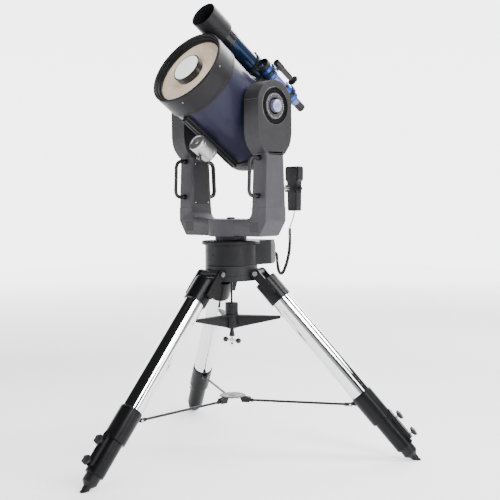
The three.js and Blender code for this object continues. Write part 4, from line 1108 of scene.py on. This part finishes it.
def add_finder():
    parts = [
        ("finder_cell", SATIN_BLACK, [(25, -2), (30, -2), (30.2, 4), (29.4, 14), (28.6, 15), (25, 15),
                                      (24.4, 13), (24.4, 0)]),
        ("finder_barrel", FINDER_BLUE, [(24, -50), (26, -50.5), (27, -49), (27, -2), (24, -2)]),
        ("finder_neck_ring", GLOSS_BLACK, [(20, -57), (23, -57), (26.4, -52), (26.4, -50), (20, -50)]),
        ("finder_neck", FINDER_LILAC, [(20, -118), (22, -118), (22, -57), (20, -57)]),
        ("finder_mid_ring", GLOSS_BLACK, [(20, -125), (26.6, -125), (26.6, -121), (23, -117), (20, -117)]),
        ("finder_tail", FINDER_BLUE, [(24, -184), (26, -184), (27, -183), (27, -125), (24, -125)]),
        ("finder_tail_ring", SATIN_BLACK, [(15, -192), (18.5, -192), (26, -186), (26.6, -184), (15, -184)]),
        ("finder_eyepiece_barrel", FINDER_LILAC, [(14, -214), (17.4, -214), (18, -213), (18, -192),
                                                  (14, -192)]),
        ("finder_eyepiece", BLACK_PLASTIC, [(9, -254), (14.6, -254), (16, -252.5), (16, -246), (15, -245),
                                            (15, -243), (16, -242), (16, -216), (15, -214), (9, -214)]),
    ]
    for i, (name, material, profile) in enumerate(parts):
        node = None if i else "finder_scope"
        piece(name, OTA_BODY, material, [lathe(profile, 96)], place=FINDER, bevel=0.2, node=node)
    lens = lathe([(0, 2), (24.4, 2), (24.4, 5), (14, 7.6), (0, 8.6)], 64)
    piece("finder_lens", OTA_BODY, LENS_GLASS, [lens], place=FINDER, bevel=0)
    eye = lathe([(0, -252), (9, -252), (9, -250), (0, -249)], 32)
    piece("finder_eye_lens", OTA_BODY, LENS_GLASS, [eye], place=FINDER, bevel=0)
    foot = prism_x([(147.9, -131.5), (159, -128), (159, 14), (147.9, 17)], -13, 13)
    rings, stands = [], []
    for z in (1, -130):
        rings.append(at(rod(32.6, z, z + 14, 96), 0, FINDER_HEIGHT))
        stands.append(block((-9, 9), (156, FINDER_HEIGHT - 25), (z, z + 14)))
    cuts = [at(rod(28.4, -300, 100, 96), 0, FINDER_HEIGHT), rod(147.8, -300, 300, 192)]
    place = TUBE @ spin(-FINDER_LEAN, "Z")
    piece("finder_cradle", OTA_BODY, SATIN_BLACK, [foot, *rings, *stands], cuts, place=place, bevel=0.8,
          node="finder_bracket")
    for ring_name, z in (("front", -27), ("rear", -158)):
        for i, angle in enumerate((30, 150)):
            screw = lathe([(0, 0), (2, 0), (2, 4), (4.4, 4.5), (4.4, 9), (3.8, 10), (0, 10)], 32)
            place = FINDER @ spin(angle, "Z") @ shift(27.2, 0, z) @ spin(90, "Y")
            piece(f"cradle_screw_{ring_name}_{i}", OTA_BODY, GLOSS_BLACK, [screw], place=place, bevel=0.3)


def add_optical_tube():
    add_optics()
    add_trunnions()
    add_balance()
    add_white_rail()
    add_guide_scope()
    add_guide_mount()
    add_guide_finder()
    add_finder()


# ---- handset ----
HANDSET_X, HANDSET_Y = 200, 134
KEY_GAPS = (11, 12.5)
FIRST_KEY_HEIGHT = 928
BRACKET_HEIGHT = 989


def handset_section(z, half_width, half_depth):
    return [(HANDSET_X + x, HANDSET_Y + 1 + y, z) for x, y in rounded_box(half_width, half_depth, 5)]


def on_keys(half_width, half_height, radius, low, high, x, z):
    """A rounded slab on the handset's key side, between two depths."""
    slab = prism_y(rounded_box(half_width, half_height, radius), HANDSET_Y + low, HANDSET_Y + high)
    return at(slab, HANDSET_X + x, 0, z)


def add_handset():
    sections = [(906, 20, 11), (907, 22, 13), (910, 23.4, 14.4), (960, 24, 15), (1004, 24.8, 15),
                (1014, 26, 15), (1020, 32.4, 15), (1024, 33.4, 15), (1060, 34, 15), (1067, 33.4, 14.6),
                (1070, 31, 12.6), (1071, 28, 10)]
    body = loft([handset_section(*section) for section in sections])
    pocket = on_keys(17, 33, 4, 13, 20, 0, 953)
    window = on_keys(24, 10, 2, 15, 20, 0, 1046)
    piece("handset_shell", "fork", BLACK_PLASTIC, [body], [pocket, window], node="handset")
    screen = on_keys(23.5, 9.5, 1.8, 14.6, 15.2, 0, 1046)
    piece("handset_screen", "fork", SCREEN, [screen], bevel=0)
    keys = [on_keys(4.3, 4.6, 1.6, 14.4, 17.3, KEY_GAPS[0] * column, FIRST_KEY_HEIGHT + KEY_GAPS[1] * row)
            for row in range(5) for column in (-1, 0, 1)]
    piece("handset_keys", "keypad", KEY_RUBBER, [gathered(keys)], bevel=0.7, node="keypad")


def add_handset_bracket():
    stalk = block((HANDSET_X - 6, HANDSET_X + 6), (52.6, 118), (BRACKET_HEIGHT - 6, BRACKET_HEIGHT + 6))
    clamp = at(prism_y(rounded_box(29, 13, 2), 115, 119.6), HANDSET_X, 0, BRACKET_HEIGHT)
    cheeks = [block((x - 1.8, x + 1.8), (115, 142), (BRACKET_HEIGHT - 12, BRACKET_HEIGHT + 12))
              for x in (HANDSET_X - 27.2, HANDSET_X + 27.2)]
    column = loft([column_section(1, HALF_DEPTH - 0.1, SEAM + 0.4),
                   column_section(1, NECK_HALF_DEPTH + 0.1, NECK - 6)])
    piece("handset_cradle", "fork", SATIN_BLACK, [clamp, *cheeks], bevel=0.8, node="handset_bracket")
    piece("handset_arm", "fork", SILVER, [stalk], [column], bevel=1.6)
    screw = lathe([(0, 0), (2.6, 0), (2.6, 3), (7, 3.6), (7, 9), (6, 10), (0, 10)], 40)
    place = STAND @ shift(HANDSET_X + 29, 130, BRACKET_HEIGHT) @ spin(90, "Y")
    piece("cradle_thumbscrew", "fork", GLOSS_BLACK, [screw], place=place, bevel=0.4)


add_tripod()
add_drive_base()
add_control_panel()
add_fork()
add_optical_tube()
add_handset()
add_handset_bracket()


# ---- floor and light ----
FLOOR_REACH = 9000
FLOOR_GLOW, FAR_GLOW = 0.8, 4.0
GLOW_START, GLOW_END = 2.2, 8
ROOM, BACKDROP, CEILING, HORIZON = 0.02, 4.2, 0.25, 0.6
MIDDLE, UPPER = (0, 0, 0.9), (0, 0, 1.3)
LIGHTS = (
    ("key", (3.4, -0.9, 3.0), (1.4, 1.4), 150, MIDDLE),
    ("rear", (2.4, 2.2, 3.2), (1.2, 1.2), 120, MIDDLE),
    ("behind", (-0.5, 3.4, 2.9), (2.4, 1.6), 130, UPPER),
    ("fill", (-1.2, -3.6, 2.4), (1.0, 1.0), 25, MIDDLE),
    ("strip_right", (3.4, 0.2, 1.6), (0.35, 2.6), 50, MIDDLE),
    ("strip_left", (-2.4, -2.8, 1.4), (0.35, 2.4), 35, MIDDLE),
    ("top", (0.2, 0.4, 3.6), (1.6, 1.6), 80, MIDDLE),
)


def add_floor():
    """A pale floor that glows more the further it is from the object."""
    reach = (-FLOOR_REACH, FLOOR_REACH)
    floor = as_object(block(reach, reach, (-20, -0.5)), "studio_floor")
    floor.data.transform(Matrix.Scale(MM, 4))
    material = bpy.data.materials.new("studio_floor")
    material.use_nodes = True
    nodes, links, shader = nodes_of(material)
    shader.inputs["Base Color"].default_value = (0.9, 0.9, 0.9, 1)
    shader.inputs["Roughness"].default_value = 0.9
    shader.inputs["Emission Color"].default_value = WHITE
    away = nodes.new("ShaderNodeVectorMath")
    away.operation = "LENGTH"
    links.new(nodes.new("ShaderNodeTexCoord").outputs["Object"], away.inputs[0])
    glow = ranged(material, away.outputs["Value"], FLOOR_GLOW, FAR_GLOW, GLOW_START, GLOW_END)
    links.new(glow, shader.inputs["Emission Strength"])
    floor.data.materials.append(material)


def add_light(name, place, size, power, target):
    light = bpy.data.objects.new(name, bpy.data.lights.new(name, "AREA"))
    light.data.shape = "RECTANGLE"
    light.data.size, light.data.size_y = size
    light.data.energy = power
    light.visible_camera = False
    light.location = place
    light.rotation_euler = (Vector(target) - Vector(place)).to_track_quat("-Z", "Y").to_euler()
    SCENE.collection.objects.link(light)


def add_world():
    """A dim room with a bright backdrop behind the object, a soft ceiling and a pale horizon."""
    world = bpy.data.worlds.new("studio")
    world.use_nodes = True
    nodes, links = world.node_tree.nodes, world.node_tree.links
    heading = nodes.new("ShaderNodeTexCoord").outputs["Generated"]
    strengths = []
    parts = (((-0.69, 0.72, 0), 0.5, 0.86, BACKDROP), ((0, 0, 1), 0.85, 1, CEILING),
             ((0, 0, 1), 0.4, 0.1, HORIZON))
    for direction, start, end, strength in parts:
        along = nodes.new("ShaderNodeVectorMath")
        along.operation = "DOT_PRODUCT"
        along.inputs[1].default_value = direction
        links.new(heading, along.inputs[0])
        spread = nodes.new("ShaderNodeMapRange")
        spread.interpolation_type = "SMOOTHSTEP"
        spread.inputs["From Min"].default_value = start
        spread.inputs["From Max"].default_value = end
        spread.inputs["To Max"].default_value = strength
        links.new(along.outputs["Value"], spread.inputs["Value"])
        strengths.append(spread.outputs["Result"])
    lit = None
    for strength in strengths:
        total = nodes.new("ShaderNodeMath")
        total.inputs[0].default_value = ROOM
        if lit:
            links.new(lit, total.inputs[0])
        links.new(strength, total.inputs[1])
        lit = total.outputs["Value"]
    nodes["Background"].inputs["Color"].default_value = WHITE
    links.new(lit, nodes["Background"].inputs["Strength"])
    SCENE.world = world


add_floor()
add_world()
for light in LIGHTS:
    add_light(*light)
